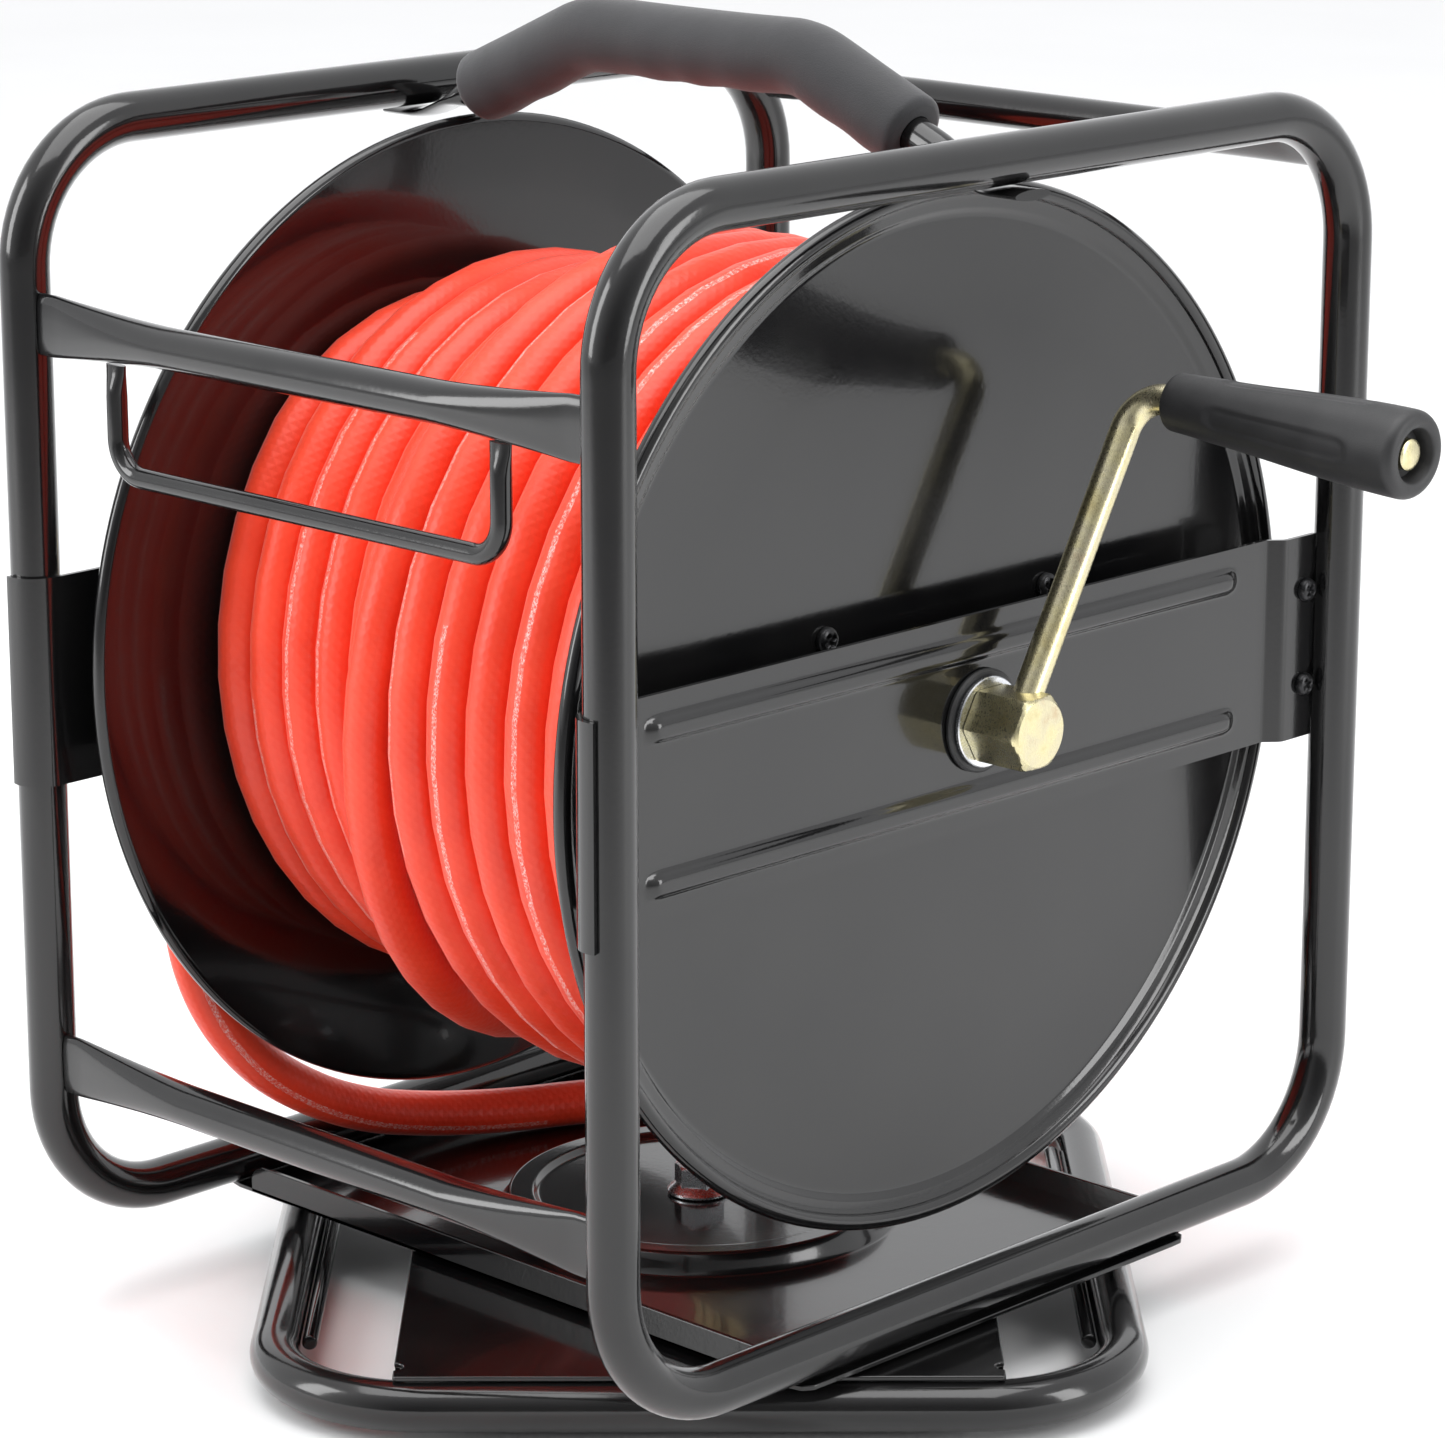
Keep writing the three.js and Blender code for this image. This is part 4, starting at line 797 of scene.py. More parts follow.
def build_foam_grip():
    """A foam sleeve pushed over the handle's bends. It bulges a little over their outsides, is drawn in a
    little inside them, and its ends are cut square with a soft edge."""
    low, high = FOAM_OFFSET - FOAM_HALF, FOAM_OFFSET + FOAM_HALF
    insets = (0, 0.0008, 0.0018, FOAM_END_ROUND)
    ends = [low + d for d in insets] + [high - d for d in reversed(insets)]
    stops = list(np.linspace(low + 0.006, high - 0.006, 60)) + ends
    stations = with_stops(handle_stations(), stops, lambda p: p.x)
    outer, inner = [], []
    for point, along in stations:
        if not low - 1e-6 < point.x < high + 1e-6:
            continue
        inset = min(point.x - low, high - point.x)
        soft = max(0.0, FOAM_END_ROUND - inset)
        radius = FOAM_R - FOAM_END_ROUND + math.sqrt(max(0.0, FOAM_END_ROUND ** 2 - soft ** 2))
        bend = math.exp(-((abs(point.x) - FOAM_BULGE_X) / FOAM_BULGE_REACH) ** 2)
        ring = []
        for spot in oval((point, along), -Y, radius, radius, FOAM_SIDES):
            up = (spot - point).z / radius
            ripple = 0.00016 * math.sin(point.x * 210 + 1.3 * math.sin(point.x * 61)) * (1 - up)
            ring.append(point + (spot - point) * (1 + 0.035 * bend * up * abs(up) + ripple / radius))
        outer.append(ring)
        inner.append(oval((point, along), -Y, HANDLE_BAR_R + GAP, HANDLE_BAR_R + GAP, FOAM_SIDES))
    sleeve = lofted(outer + inner[::-1], closed=True)
    grip = piece("foam_grip", *sleeve, "cage", "foam", ["handle_foam_grip"])


build_side_loops()
build_crossbars()
build_guide()
build_handle()
build_foam_grip()

# ---- Small turned and pressed pieces --------------------


def screw(radius, height, shank_r, length):
    """A pan-head screw along Z, its head's underside at 0. A cross is sunk in its head."""
    count = 48
    slot, reach, depth = radius * 0.16, radius * 0.62, height * 0.55
    rings = []
    for r in [radius * k / 12 for k in range(1, 13)]:
        ring = []
        for angle in angles(count):
            x, y = r * math.cos(angle), r * math.sin(angle)
            dome = height * (0.45 + 0.55 * math.sqrt(max(0.0, 1 - (r / radius) ** 2.6)))
            thin, far = min(abs(x), abs(y)), max(abs(x), abs(y))
            sunk = smooth((slot * 1.6 - thin) / (slot * 0.9)) * smooth((reach - far) / (reach * 0.25))
            ring.append(Vector((x, y, dome - depth * sunk)))
        rings.append(ring)
    rings.append([Vector((p.x, p.y, 0)) for p in rings[-1]])
    return lofted(rings + [circle(shank_r, 0, count), circle(shank_r, -length, count)])


def rounded_ring(inner, outer, low, high, edge=0.0004):
    """A washer-like ring along Z with rounded outer edges."""
    return turned([(inner, low), (outer - edge, low), (outer, low + edge), (outer, high - edge),
                   (outer - edge, high), (inner, high)], 72)


def hexagon_radius(across_flats, angle):
    """From a hexagon's middle to its outline. Corners are at 30 degrees and every 60 from there."""
    return across_flats / 2 / math.cos((angle + math.pi / 6) % (math.pi / 3) - math.pi / 6)


def hexagonal_bar(across_flats, low, high, chamfer_low, chamfer_high, turn=0.0):
    """A hexagonal bar along Z, each end turned down to a cone."""
    corner = across_flats / math.sqrt(3)
    insets = (0, 0.0004, 0.0009, 0.0016, 0.0026)
    rings = []
    for z in [low + d for d in insets] + [high - d for d in reversed(insets)]:
        cone = corner
        if chamfer_low:
            cone = min(cone, corner - chamfer_low + (z - low) * 1.4)
        if chamfer_high:
            cone = min(cone, corner - chamfer_high + (high - z) * 1.4)
        ring = []
        for a in angles(72):
            radius = min(cone, hexagon_radius(across_flats, a))
            ring.append(Vector((radius * math.cos(a + turn), radius * math.sin(a + turn), z)))
        rings.append(ring)
    return lofted(rings)


# ---- Drum --------------------

SHEET = 0.0015
RIM_R = 0.0034
RIM_STEP = 0.014  # from the flange's outside to the foot of the step
CORE_WALL = 0.002
AIR_BORE_R = 0.0045
FLANGE_SCREW = Vector((0, 0.062, 0.038))


def flange_profile():
    """From the bore along the inner face, round the rolled rim, and back over a low step."""
    step = FLANGE_R - RIM_STEP
    profile = [(AXLE_HOLE_R, 0), (0.060, 0), (0.120, 0), (0.170, 0)]
    profile += arc(FLANGE_R - RIM_R, RIM_R, RIM_R, -90, 166, 16)
    profile += [(step + out, z) for out, z in ((0.0055, 0.0034), (0.0030, 0.0032), (0.0020, 0.0028),
                                               (0.0008, 0.0019), (-0.0002, 0.0016), (-0.0014, SHEET))]
    return profile + [(r, SHEET) for r in (0.150, 0.090, 0.045, AXLE_HOLE_R)]


def build_flanges():
    disc = placed(turned(flange_profile(), 192), along_x(WIND_HALF))
    head = screw(radius=0.005, height=0.0032, shank_r=0.002, length=0.007)
    for side, mirror in SIDES:
        piece(f"{side}_disc", *placed(disc, mirror), "drum", "black_paint", [f"{side}_flange"], sharp=30)
        for number, (a, b) in enumerate(((-1, -1), (1, -1), (-1, 1), (1, 1)), 1):
            at = along_x(WIND_HALF + SHEET + GAP, a * FLANGE_SCREW.y, AXLE_Z + b * FLANGE_SCREW.z)
            turn = Matrix.Rotation(0.7 * number, 4, "Z")
            piece(f"{side}_disc_screw_{number}", *placed(head, mirror @ at @ turn), "drum", "black_steel",
                  [f"{side}_flange_screw_{number}"])


def build_core():
    """A closed can round the axle."""
    end, edge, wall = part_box("drum_core")[1].x, 0.001, CORE_WALL
    profile = [(AXLE_HOLE_R, -end), (CORE_R - edge, -end), (CORE_R, edge - end), (CORE_R, end - edge),
               (CORE_R - edge, end), (AXLE_HOLE_R, end), (AXLE_HOLE_R, end - wall),
               (CORE_R - wall, end - wall), (CORE_R - wall, wall - end), (AXLE_HOLE_R, wall - end)]
    piece("core_can", *placed(turned(profile, 120), along_x()), "drum", "black_paint", ["drum_core"])


def build_axle():
    """The axle, bored at the inlet end, and the pipe that takes the air out to the hose."""
    low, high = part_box("axle")
    radius, edge, bore_end = (high.z - low.z) / 2, 0.0008, low.x + 0.02
    bar = turned([(0, bore_end), (AIR_BORE_R, bore_end), (AIR_BORE_R, low.x), (radius - edge, low.x),
                  (radius, low.x + edge), (radius, high.x - edge), (radius - edge, high.x), (0, high.x)], 64)
    piece("axle_bar", *placed(bar, along_x()), "drum", "bright_zinc", ["axle"])
    low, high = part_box("outlet_pipe")
    pipe = rounded_ring(AIR_BORE_R, (high.x - low.x) / 2, low.z, high.z)
    pipe = placed(pipe, Matrix.Translation(((low.x + high.x) / 2, 0, 0)))
    piece("outlet_stub", *pipe, "drum", "brass", ["outlet_pipe"])


def build_washers():
    low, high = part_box("hub_washer")
    washer = placed(rounded_ring(AXLE_HOLE_R, (high.z - low.z) / 2, low.x, high.x), along_x())
    piece("hub_side_washer", *washer, "drum", "bright_zinc", ["hub_washer"])
    piece("inlet_side_washer", *placed(washer, MIRROR), "drum", "bright_zinc", ["inlet_retaining_washer"])


HEX_ACROSS_FLATS = 0.027
CRANK_ANGLE = math.radians(30)
CRANK_OVERBEND = math.radians(2.5)
CRANK_THROW = 0.136
CRANK_BEND_R = 0.014
CRANK_ROD_R = 0.0058
ARM = Vector((0, math.sin(CRANK_ANGLE), math.cos(CRANK_ANGLE)))
GRIP_WAY = X * math.cos(CRANK_OVERBEND) - ARM * math.sin(CRANK_OVERBEND)
CRANK_MIDDLE = Vector((centre("crank_hub").x, 0, AXLE_Z))
CRANK_CORNER = CRANK_MIDDLE + ARM * CRANK_THROW
GRIP_FROM = CRANK_BEND_R + 0.005
GRIP_LENGTH = 0.113
GRIP_SMALL_R, GRIP_LARGE_R = 0.0112, 0.0166
GRIP_END_ROUND = 0.0042
GRIP_RECESS = 0.007  # round the end of the rod


def build_hub():
    low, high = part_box("crank_hub")
    # a flat faces along the arm
    turn = math.pi / 6 - CRANK_ANGLE
    bar = hexagonal_bar(HEX_ACROSS_FLATS, low.x, high.x, 0.0004, 0.0028, turn)
    piece("hex_hub", *placed(bar, along_x()), "drum", "yellow_zinc", ["crank_hub"], sharp=25)


def build_crank():
    start = CRANK_MIDDLE + ARM * 0.003
    end = CRANK_CORNER + GRIP_WAY * (GRIP_FROM + GRIP_LENGTH - 0.003)
    path = bent_path([start, CRANK_CORNER, end], CRANK_BEND_R, steps=18)
    normal = ARM.cross(X)
    rings = [oval(station, normal, CRANK_ROD_R, CRANK_ROD_R, 32) for station in path]
    point, along = path[-1]
    for inset, shrink in ((0.0004, 0.9), (0.0007, 0.76)):
        radius = CRANK_ROD_R * shrink
        rings.append(oval((point + along * inset, along), normal, radius, radius, 32))
    piece("crank_arm", *lofted(rings), "drum", "yellow_zinc", ["crank_rod"])


def grip_radius(h):
    """The crank grip's radius at a distance from its inner end."""
    body = GRIP_SMALL_R + (GRIP_LARGE_R - GRIP_SMALL_R) * (0.10 + 0.9 * smooth(h / (GRIP_LENGTH * 0.95)))
    neck = 0.0006 * (1 - min(1, h / 0.02))
    inner_round = 0.0012 * max(0.0, 1 - h / 0.0012) ** 2
    out = max(0.0, h - (GRIP_LENGTH - GRIP_END_ROUND)) / GRIP_END_ROUND
    return body - neck - inner_round - 0.0036 * (1 - math.sqrt(max(0.0, 1 - out ** 2)))


def build_grip():
    """A moulded grip with four long, shallow hollows and a recess round the rod's end."""
    sides = 96
    hollow_from, hollow_to, hollow_half, hollow_depth = 0.028, 0.088, 0.0042, 0.0007
    heights = [0, 0.0003, 0.0007, 0.0012] + list(np.linspace(0.003, GRIP_LENGTH - 0.005, 64))
    heights += [GRIP_LENGTH - d for d in (GRIP_END_ROUND, 0.003, 0.002, 0.0012, 0.0006, 0.0002, 0)]
    rings = []
    for h in heights:
        ring = []
        for angle in angles(sides):
            radius = grip_radius(h)
            across = ((angle + math.pi / 4) % (math.pi / 2) - math.pi / 4) * radius
            along = max(hollow_from - h, h - hollow_to, 0.0)
            inside = hollow_half - math.hypot(across, along)
            radius -= hollow_depth * smooth(inside / 0.0009 + 0.5)
            ring.append(Vector((radius * math.cos(angle), radius * math.sin(angle), h)))
        rings.append(ring)
    bore = CRANK_ROD_R + GAP
    floor = GRIP_LENGTH - GRIP_RECESS
    for wider, h in ((0.0046, GRIP_LENGTH - 0.0002), (0.004, GRIP_LENGTH - 0.001), (0.003, floor),
                     (0, floor), (0, 0)):
        rings.append(circle(bore + wider, h, sides))
    shape = placed(lofted(rings, closed=True), pointing(CRANK_CORNER + GRIP_WAY * GRIP_FROM, GRIP_WAY))
    piece("hand_grip", *shape, "grip", "black_plastic", ["crank_grip"], sharp=50)


build_flanges()
build_core()
build_axle()
build_washers()
build_hub()
build_crank()
build_grip()

# ---- Bearing brackets --------------------

BRACKET_SHEET = 0.002
BRACKET_X = LOOP_X - TUBE_R - GAP
BRACKET_JOGGLE = 0.0056
BRACKET_HALF = size("crank_bracket").z / 2
SCREW_Y = REAR_Y - TUBE_R - 0.0055
TAB_X = BRACKET_X + BRACKET_JOGGLE
BEAD_HALF, BEAD_RISE = 0.0055, 0.0026
BEAD_Z = BRACKET_HALF - 0.013
BEAD_FROM, BEAD_TO = FRONT_Y + 0.027 + BEAD_HALF, SCREW_Y - 0.038 - BEAD_HALF


def bracket_stations():
    """Seen from above: round the front tube, along the loop's inside, and out to the lug at the rear."""
    middle = BRACKET_SHEET / 2
    wrap_r = TUBE_R + GAP + middle
    stations = []
    for angle in np.radians(np.linspace(286, 184, 18)):
        out = Vector((math.cos(angle), math.sin(angle), 0))
        stations.append((Vector((LOOP_X, FRONT_Y, 0)) + out * wrap_r, Vector((out.y, -out.x, 0))))
    x = BRACKET_X - middle
    tab_y = SCREW_Y - 0.012
    tab_x = x + BRACKET_JOGGLE
    run = [(x, FRONT_Y), (x, tab_y - 0.006), (tab_x, tab_y), (tab_x, REAR_Y - TUBE_R + 0.001)]
    stations += bent_path([Vector((a, b, 0)) for a, b in run], 0.004, steps=6)
    return with_stops(stations, np.linspace(FRONT_Y + 0.006, tab_y - 0.012, 150), lambda p: p.y)


def bead(y, z):
    """How far the two ribs stand out at a place on the bracket."""
    along = max(BEAD_FROM - y, y - BEAD_TO, 0.0)
    distance = math.hypot(along, abs(abs(z) - BEAD_Z))
    return BEAD_RISE * smooth((BEAD_HALF - distance) / 0.0032)


def build_brackets():
    heights = list(np.linspace(-BRACKET_HALF, BRACKET_HALF, 84))
    outer, inner = [], []
    for point, along in bracket_stations():
        out = Vector((along.y, -along.x, 0))
        for z in heights:
            rise = bead(point.y, z) if abs(point.x - BRACKET_X) < 0.003 else 0.0
            base = point + Vector((0, 0, AXLE_Z + z)) + out * rise
            outer.append(base + out * BRACKET_SHEET / 2)
            inner.append(base - out * BRACKET_SHEET / 2)
    rows, columns = len(outer) // len(heights), len(heights)
    points, faces, back = outer + inner, [], len(outer)

    def corner(i, j):
        return i * columns + j

    for i in range(rows - 1):
        for j in range(columns - 1):
            quad = [corner(i, j), corner(i + 1, j), corner(i + 1, j + 1), corner(i, j + 1)]
            faces += [quad, [back + v for v in reversed(quad)]]
        for j in (0, columns - 1):
            edge = [corner(i, j), corner(i + 1, j)]
            faces.append([edge[1], edge[0], back + edge[0], back + edge[1]])
    for i in (0, rows - 1):
        for j in range(columns - 1):
            edge = [corner(i, j), corner(i, j + 1)]
            faces.append([edge[0], edge[1], back + edge[1], back + edge[0]])
    for side, mirror in SIDES:
        piece(f"{side}_bearing_bracket", *placed((points, faces), mirror), "cage", "black_paint",
              [f"{side}_bracket"], sharp=45)


def build_bracket_fittings():
    """The lug, the axle's bush and the two screws of each bracket."""
    low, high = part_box("crank_mounting_lug")
    lug = slab(rounded_rectangle(high.z - low.z, high.y - low.y, 0.003), high.x - low.x)
    lug = placed(lug, along_x(low.x, (low.y + high.y) / 2))
    low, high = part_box("crank_axle_bush")
    flange_r, seat, body_r = (high.z - low.z) / 2, BRACKET_X + GAP, 0.013
    bush = turned([(AXLE_HOLE_R, low.x), (body_r - 0.0006, low.x), (body_r, low.x + 0.0006), (body_r, seat),
                   (flange_r - 0.0003, seat), (flange_r, seat + 0.0003), (flange_r, high.x - 0.0008),
                   (flange_r - 0.0008, high.x), (0.0125, high.x), (0.0118, high.x - 0.0005),
                   (AXLE_HOLE_R, high.x - 0.0005)], 72)
    bush = placed(bush, along_x())
    head = screw(radius=0.0046, height=0.0032, shank_r=0.0024, length=0.0095)
    spacing = centre("crank_bracket_screw_2").z - AXLE_Z
    for side, mirror in SIDES:
        piece(f"{side}_lug", *placed(lug, mirror), "cage", "black_paint", [f"{side}_mounting_lug"],
              bevel=0.0005)
        piece(f"{side}_bush", *placed(bush, mirror), "cage", "black_plastic", [f"{side}_axle_bush"])
        for number, level in enumerate((-1, 1), 1):
            at = along_x(TAB_X + GAP, SCREW_Y, AXLE_Z + level * spacing)
            turned_head = placed(head, mirror @ at @ Matrix.Rotation(0.5 * number, 4, "Z"))
            piece(f"{side}_lug_screw_{number}", *turned_head, "cage", "black_steel",
                  [f"{side}_bracket_screw_{number}"])


build_brackets()
build_bracket_fittings()

# ---- Deck --------------------

DECK_LOW, DECK_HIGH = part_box("deck_plate")
DECK_Z = DECK_LOW.z
DECK_SHEET = 0.002
DECK_TOP = DECK_Z + DECK_SHEET
DECK_SIDES = 240
DECK_FLAT_R = 0.084  # the sheet is flat beyond here
PLATEAU_R, PLATEAU_RISE = 0.079, 0.0087
DISH_R, DISH_DEPTH = 0.068, 0.0024
PIVOT_R = 0.006


def ray_to_rounded_rectangle(angle, half_x, half_y, radius):
    """Where a ray from the middle leaves a rectangle with rounded corners."""
    c, s = abs(math.cos(angle)), abs(math.sin(angle))
    reach = min(half_x / c if c > 1e-9 else 9, half_y / s if s > 1e-9 else 9)
    x, y = reach * c, reach * s
    if x > half_x - radius and y > half_y - radius:
        cx, cy = half_x - radius, half_y - radius
        along = cx * c + cy * s
        reach = along + math.sqrt(max(0.0, along ** 2 - (cx ** 2 + cy ** 2 - radius ** 2)))
    return Vector((reach * math.cos(angle), reach * math.sin(angle), 0))


def deck_height(r):
    """The pressed middle of the deck above its flat, by distance from the swivel bolt."""
    rise = PLATEAU_RISE * smooth((PLATEAU_R + 0.003 - r) / 0.0055)
    return rise - DISH_DEPTH * smooth((DISH_R + 0.0005 - r) / 0.0036)


def build_deck():
    half_x, half_y = DECK_HIGH.x, DECK_HIGH.y
    radii = [PIVOT_R + 0.001, *np.linspace(0.012, 0.060, 7), *np.linspace(0.063, 0.070, 9)]
    radii += list(np.linspace(0.073, DECK_FLAT_R, 14))
    top = [circle(r, DECK_TOP + deck_height(r), DECK_SIDES) for r in radii]
    pressed = circle(DECK_FLAT_R, 0, DECK_SIDES)
    rim = [ray_to_rounded_rectangle(a, half_x, half_y, 0.008) for a in angles(DECK_SIDES)]
    for share in np.linspace(0.1, 1.0, 10):
        spots = [near.lerp(edge, share) for near, edge in zip(pressed, rim)]
        top.append([Vector((spot.x, spot.y, DECK_TOP)) for spot in spots])
    bottom = [[p - Z * DECK_SHEET for p in ring] for ring in reversed(top)]
    sheet = lofted(top + bottom, closed=True)
    # the edges turned up between the tubes, with their upper corners rounded
    length = LOOP_X - TUBE_R - 0.001
    height = DECK_HIGH.z - DECK_Z
    low, round_r = height * 0.4, height * 0.6
    outline = [(-length, 0.0), (length, 0.0)] + arc(length - round_r, low, round_r, 0, 90, 8)
    outline += arc(round_r - length, low, round_r, 90, 180, 8)
    upright = Matrix.Rotation(math.pi / 2, 4, "X")
    edges = [placed(slab(outline, DECK_SHEET), Matrix.Translation((0, y, DECK_Z)) @ upright)
             for y in (-half_y + DECK_SHEET, half_y)]
    piece("deck_tray", *merged(sheet, *edges), "cage", "black_paint", ["deck_plate"], sharp=30, bevel=0.0004)


# ---- Base fittings --------------------

PEDESTAL_TOP = DECK_Z - 0.0019
PEDESTAL_SHEET = 0.002
PEDESTAL_HALF = 0.115
NOTCH_R = 0.0035


def notched_outline():
    """The pedestal's sheet from above, with a round notch where its sides meet the front and rear tubes."""
    half_y, edge, cut = BASE_HALF_Y + 0.001, PEDESTAL_HALF, 0.001
    notch = arc(edge, BASE_HALF_Y - TUBE_R, NOTCH_R, 270, 90, 10)
    right = [(edge - cut, -half_y), (edge, cut - half_y)] + [(x, -y) for x, y in reversed(notch)]
    right += notch + [(edge, half_y - cut), (edge - cut, half_y)]
    return right + [(-x, -y) for x, y in right]


def build_pedestal():
    sheet = slab(notched_outline(), PEDESTAL_SHEET, PEDESTAL_TOP - PEDESTAL_SHEET)
    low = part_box("pedestal_plate")[0].z
    side_half = BASE_HALF_Y - TUBE_R - 0.007
    folds = []
    for side in (-1, 1):
        at = Matrix.Translation((side * (PEDESTAL_HALF - PEDESTAL_SHEET / 2), 0, low))
        half = PEDESTAL_SHEET / 2
        fold = slab([(-half, -side_half), (half, -side_half), (half, side_half), (-half, side_half)],
                    PEDESTAL_TOP - PEDESTAL_SHEET - low)
        folds.append(placed(fold, at))
    shape = placed(merged(sheet, *folds), TURN)
    piece("pedestal", *shape, "base", "black_paint", ["pedestal_plate"], sharp=30, bevel=0.0005)


def build_side_rods():
    radius, edge = 0.003, 0.0008
    half = BASE_HALF_Y - BASE_BEND_R - 0.004
    rod = turned([(0, -half), *arc(radius - edge, edge - half, edge, -90, 0, 4),
                  *arc(radius - edge, half - edge, edge, 0, 90, 4), (0, half)], 32)
    for name, side in (("left", -1), ("right", 1)):
        at = Matrix.Translation((side * (BASE_HALF_X - TUBE_R - radius - GAP), 0, BASE_Z))
        shape = placed(rod, TURN @ at @ Matrix.Rotation(math.pi / 2, 4, "X"))
        piece(f"side_rod_{name}", *shape, "base", "black_paint", [f"base_side_rod_{name}"])


def build_feet():
    """Round pads whose tops are hollowed to the tube above."""
    top, radius, sides = 0.0075, 0.009, 64
    saddle = TUBE_R + GAP

    def roof(x):
        return min(top, BASE_Z - math.sqrt(max(0.0, saddle ** 2 - x * x)))

    around = angles(sides)
    levels = ((0.0060, 0), (0.0080, 0), (0.0085, 0.0003), (0.0089, 0.0007), (radius, 0.0012))
    rings = [circle(r, z, sides) for r, z in levels]
    for r in (radius, 0.0085, 0.007, 0.005, 0.003, 0.001):
        rings.append([Vector((p.x, p.y, roof(r * math.cos(a)))) for p, a in zip(circle(r, 0, sides), around)])
    for end, y in (("front", -1), ("rear", 1)):
        for name, side in (("left", -1), ("right", 1)):
            place = Matrix.Translation((side * BASE_HALF_X, y * (BASE_HALF_Y - BASE_BEND_R - radius), 0))
            piece(f"pad_{end}_{name}", *placed(lofted(rings), TURN @ place), "base", "rubber",
                  [f"foot_{end}_{name}"], sharp=50)


def ball(radius, at):
    levels, sides = 8, 12
    rings = []
    for i in range(1, levels):
        polar = math.pi * i / levels
        out, up = math.sin(polar), math.cos(polar)
        rings.append([Vector(at) + radius * Vector((out * math.cos(a), out * math.sin(a), up))
                      for a in angles(sides)])
    return lofted(rings)


RACE_INNER_R, RACE_OUTER_R = 0.024, 0.056
BALLS, BALL_CIRCLE_R = 30, 0.051


def build_bearing():
    """Two races, and between them the balls in their thin keeper."""
    for node, body in (("bearing_lower_race", "base"), ("bearing_upper_race", "cage")):
        low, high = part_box(node)
        race = rounded_ring(RACE_INNER_R, RACE_OUTER_R, low.z, high.z, 0.0005)
        piece(node + "_ring", *race, body, "bright_zinc", [node])
    low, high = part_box("bearing_ball_ring")
    radius, middle = (high.z - low.z) / 2, (low.z + high.z) / 2
    inset, half = 0.0005, 0.0004
    keeper = rounded_ring(RACE_INNER_R + inset, RACE_OUTER_R - inset, middle - half, middle + half, 0.0002)
    balls = [ball(radius, spot) for spot in circle(BALL_CIRCLE_R, middle, BALLS)]
    piece("ball_ring", *merged(keeper, *balls), "base", "bright_zinc", ["bearing_ball_ring"])


BOLT_FLATS = 0.018  # across the bolt's head and the nut
THREAD_PITCH, THREAD_DEPTH, THREAD_TURNS = 0.0012, 0.0005, 12


def build_pivot():
    """The bolt that the cage turns on, threaded near its top, and its flange nut."""
    low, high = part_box("pivot_bolt")
    head = hexagonal_bar(BOLT_FLATS, low.z, low.z + 0.0075, 0.0010, 0.0)
    shank = [(0, low.z + 0.007), (PIVOT_R, low.z + 0.007)]
    top = high.z - 0.0008
    level = top - THREAD_TURNS * THREAD_PITCH
    while level < top - THREAD_PITCH / 2:
        shank += [(PIVOT_R, level), (PIVOT_R - THREAD_DEPTH, level + THREAD_PITCH / 2)]
        level += THREAD_PITCH
    shank += [(PIVOT_R - 0.0002, top), (PIVOT_R - 0.001, high.z), (0, high.z)]
    piece("swivel_bolt", *merged(head, turned(shank, 40)), "base", "bright_zinc", ["pivot_bolt"], sharp=25)
    low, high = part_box("pivot_nut")
    bore, flange_r, flange_top = PIVOT_R + GAP, 0.013, low.z + 0.004
    flange = turned([(bore, low.z), (flange_r - 0.0004, low.z), (flange_r, low.z + 0.0004),
                     (flange_r, low.z + 0.0012), (0.0125, low.z + 0.0018), (0.0096, flange_top),
                     (bore, flange_top)], 72)
    nut = hexagonal_bar(BOLT_FLATS, low.z + 0.0035, high.z, 0.0, 0.0012)
    piece("swivel_nut", *merged(flange, nut), "base", "bright_zinc", ["pivot_nut"], sharp=25)


build_deck()
build_pedestal()
build_side_rods()
build_feet()
build_bearing()
build_pivot()

# ---- Air inlet --------------------


def build_inlet():
    """The swivelling union, a grooved round body on the axle's end and a side pipe with a hexagon, and the
    ferrule that crimps the lead-in hose to it."""
    low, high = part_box("inlet_union")
    end, body_r, groove_r = high.x, 0.014, 0.0134
    body = turned([(AXLE_HOLE_R, end), (0.0128, end), (body_r, end - 0.0008), (body_r, end - 0.006),
                   (groove_r, end - 0.0066), (groove_r, end - 0.0078), (body_r, end - 0.0084),
                   (body_r, low.x + 0.001), (0.013, low.x), (0, low.x), (0, low.x + 0.004),
                   (AXLE_HOLE_R, low.x + 0.004)], 72)
    outwards = pointing(Vector((UNION_X, 0, AXLE_Z)), INLET_WAY)
    side = merged(turned([(0, 0.010), (0.0084, 0.010), (0.0084, 0.0150), (0, 0.0150)], 48),
                  hexagonal_bar(0.0155, 0.0150, 0.0212, 0.0006, 0.0006),
                  turned([(0, 0.021), (0.0078, 0.021), (0.0078, 0.0240), (0, 0.0240)], 48))
    union = merged(placed(body, along_x()), placed(side, outwards))
    piece("air_union", *union, "cage", "brass", ["inlet_union"], sharp=30)
    outer = 0.011
    starts = [0.0285 + 0.0036 * k for k in range(3)]
    crimps = grooves(outer, 0.0007, starts, 0.0010)
    ferrule = turned([(0, 0.0243), (0.0104, 0.0243), (outer, 0.0249), *crimps, (outer, 0.0417),
                      (0.0105, 0.0423), (0, 0.0423)], 64)
    piece("crimped_ferrule", *placed(ferrule, outwards), "cage", "brass", ["lead_hose_ferrule"], sharp=30)


build_inlet()

# ---- Floor and light --------------------


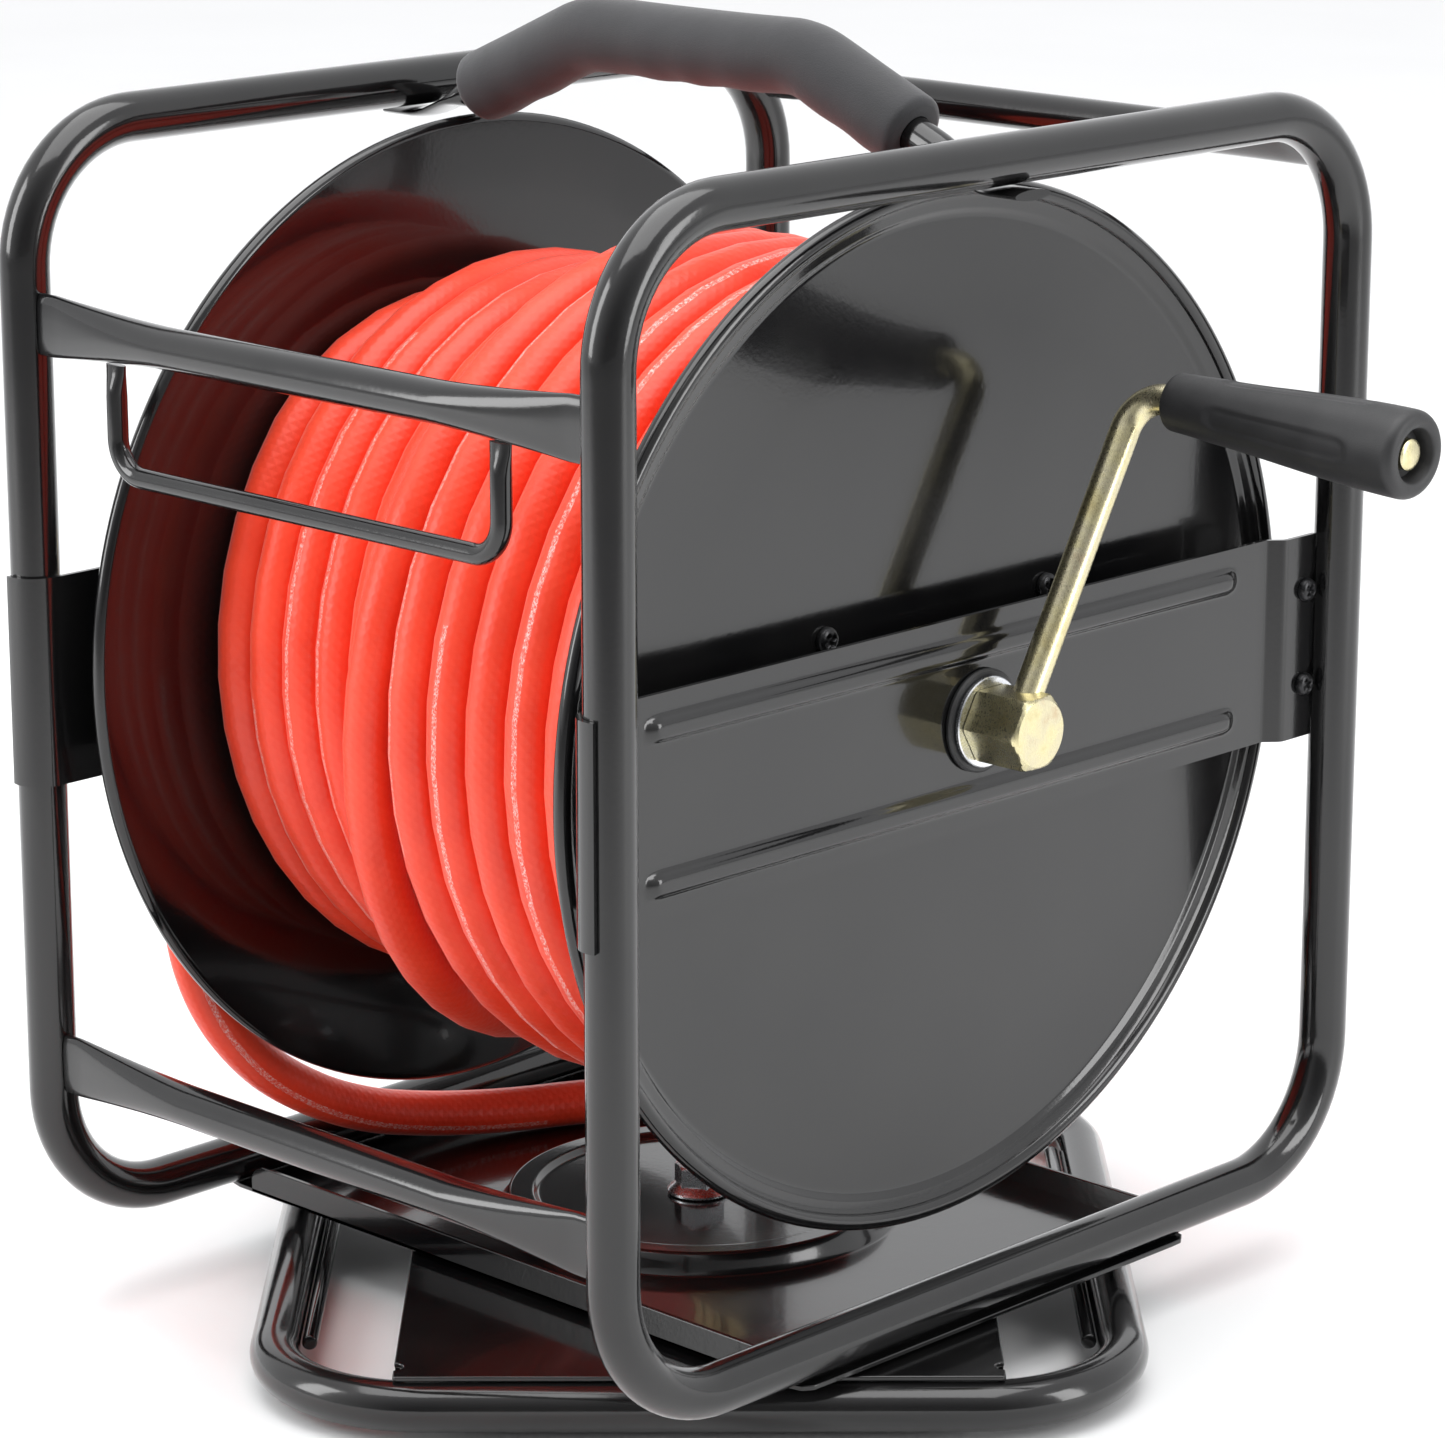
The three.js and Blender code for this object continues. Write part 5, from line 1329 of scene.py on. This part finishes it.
def pale_floor_with_painted_shade():
    """White paper with painted shade: its colour darkens far out on the camera's side, standing in for the
    dark part of the studio.
    """
    m = Nodes("pale_floor_with_painted_shade", Roughness=0.6, Specular_IOR_Level=0.2)
    split = m.feed(m.add("ShaderNodeSeparateXYZ"), Vector=m.object_point)
    ahead = m.math("SUBTRACT", split.outputs["X"], split.outputs["Y"])
    # painted shade: the colour falls from 0.9 to 0.4 out on the camera's side; the faint noise is the paper's
    # own tone
    paper_tone_and_painted_shade = m.math("MULTIPLY", m.spread(ahead, 0.9, 0.4, 0.9, 2.4), m.spread(m.noise(3), 0.98, 1.0))
    m.feed(m.shader, Base_Color=m.colours(paper_tone_and_painted_shade, (0.0, (0, 0, 0)), (1.0, (1, 1, 1))))
    return m.material


def make_floor():
    mesh = bpy.data.meshes.new("floor")
    half = 20.0
    corners = [(-half, -half, 0), (half, -half, 0), (half, half, 0), (-half, half, 0)]
    mesh.from_pydata(corners, [], [(0, 1, 2, 3)])
    mesh.materials.append(pale_floor_with_painted_shade())
    floor = bpy.data.objects.new("floor", mesh)
    bpy.context.scene.collection.objects.link(floor)


def soft_light(name, at, aim, width, height, watts):
    data = bpy.data.lights.new(name, "AREA")
    data.shape = "RECTANGLE"
    data.size, data.size_y = width, height
    data.energy = watts
    light = bpy.data.objects.new(name, data)
    bpy.context.scene.collection.objects.link(light)
    light.location = at
    light.rotation_euler = (Vector(aim) - Vector(at)).to_track_quat("-Z", "Y").to_euler()
    light.visible_camera = False


def make_light():
    """A white studio, dimmer on the side where the camera stands and near the horizon there."""
    world = bpy.data.worlds.new("studio")
    world.use_nodes = True
    tree = world.node_tree
    background = tree.nodes["Background"]
    split = tree.nodes.new("ShaderNodeSeparateXYZ")
    tree.links.new(tree.nodes.new("ShaderNodeTexCoord").outputs["Generated"], split.inputs[0])
    ahead = tree.nodes.new("ShaderNodeMath")
    ahead.operation = "SUBTRACT"
    tree.links.new(split.outputs["X"], ahead.inputs[0])
    tree.links.new(split.outputs["Y"], ahead.inputs[1])
    fall = tree.nodes.new("ShaderNodeMapRange")
    for socket, number in (("From Min", 0.5), ("From Max", 1.35), ("To Min", 1.15), ("To Max", 0.2)):
        fall.inputs[socket].default_value = number
    tree.links.new(ahead.outputs[0], fall.inputs["Value"])
    tree.links.new(fall.outputs["Result"], background.inputs["Strength"])
    background.inputs["Color"].default_value = (0.98, 0.985, 1.0, 1)
    bpy.context.scene.world = world
    soft_light("overhead", (0.1, -0.2, 2.4), (0, 0, 0.2), 2.2, 2.2, 46)
    soft_light("left", (-1.2, -1.9, 1.2), (0, 0, 0.25), 0.8, 1.6, 26)
    soft_light("right", (2.2, 0.7, 0.9), (0, 0, 0.25), 0.7, 1.6, 22)


make_floor()
make_light()
bpy.context.scene.view_settings.view_transform = "Standard"
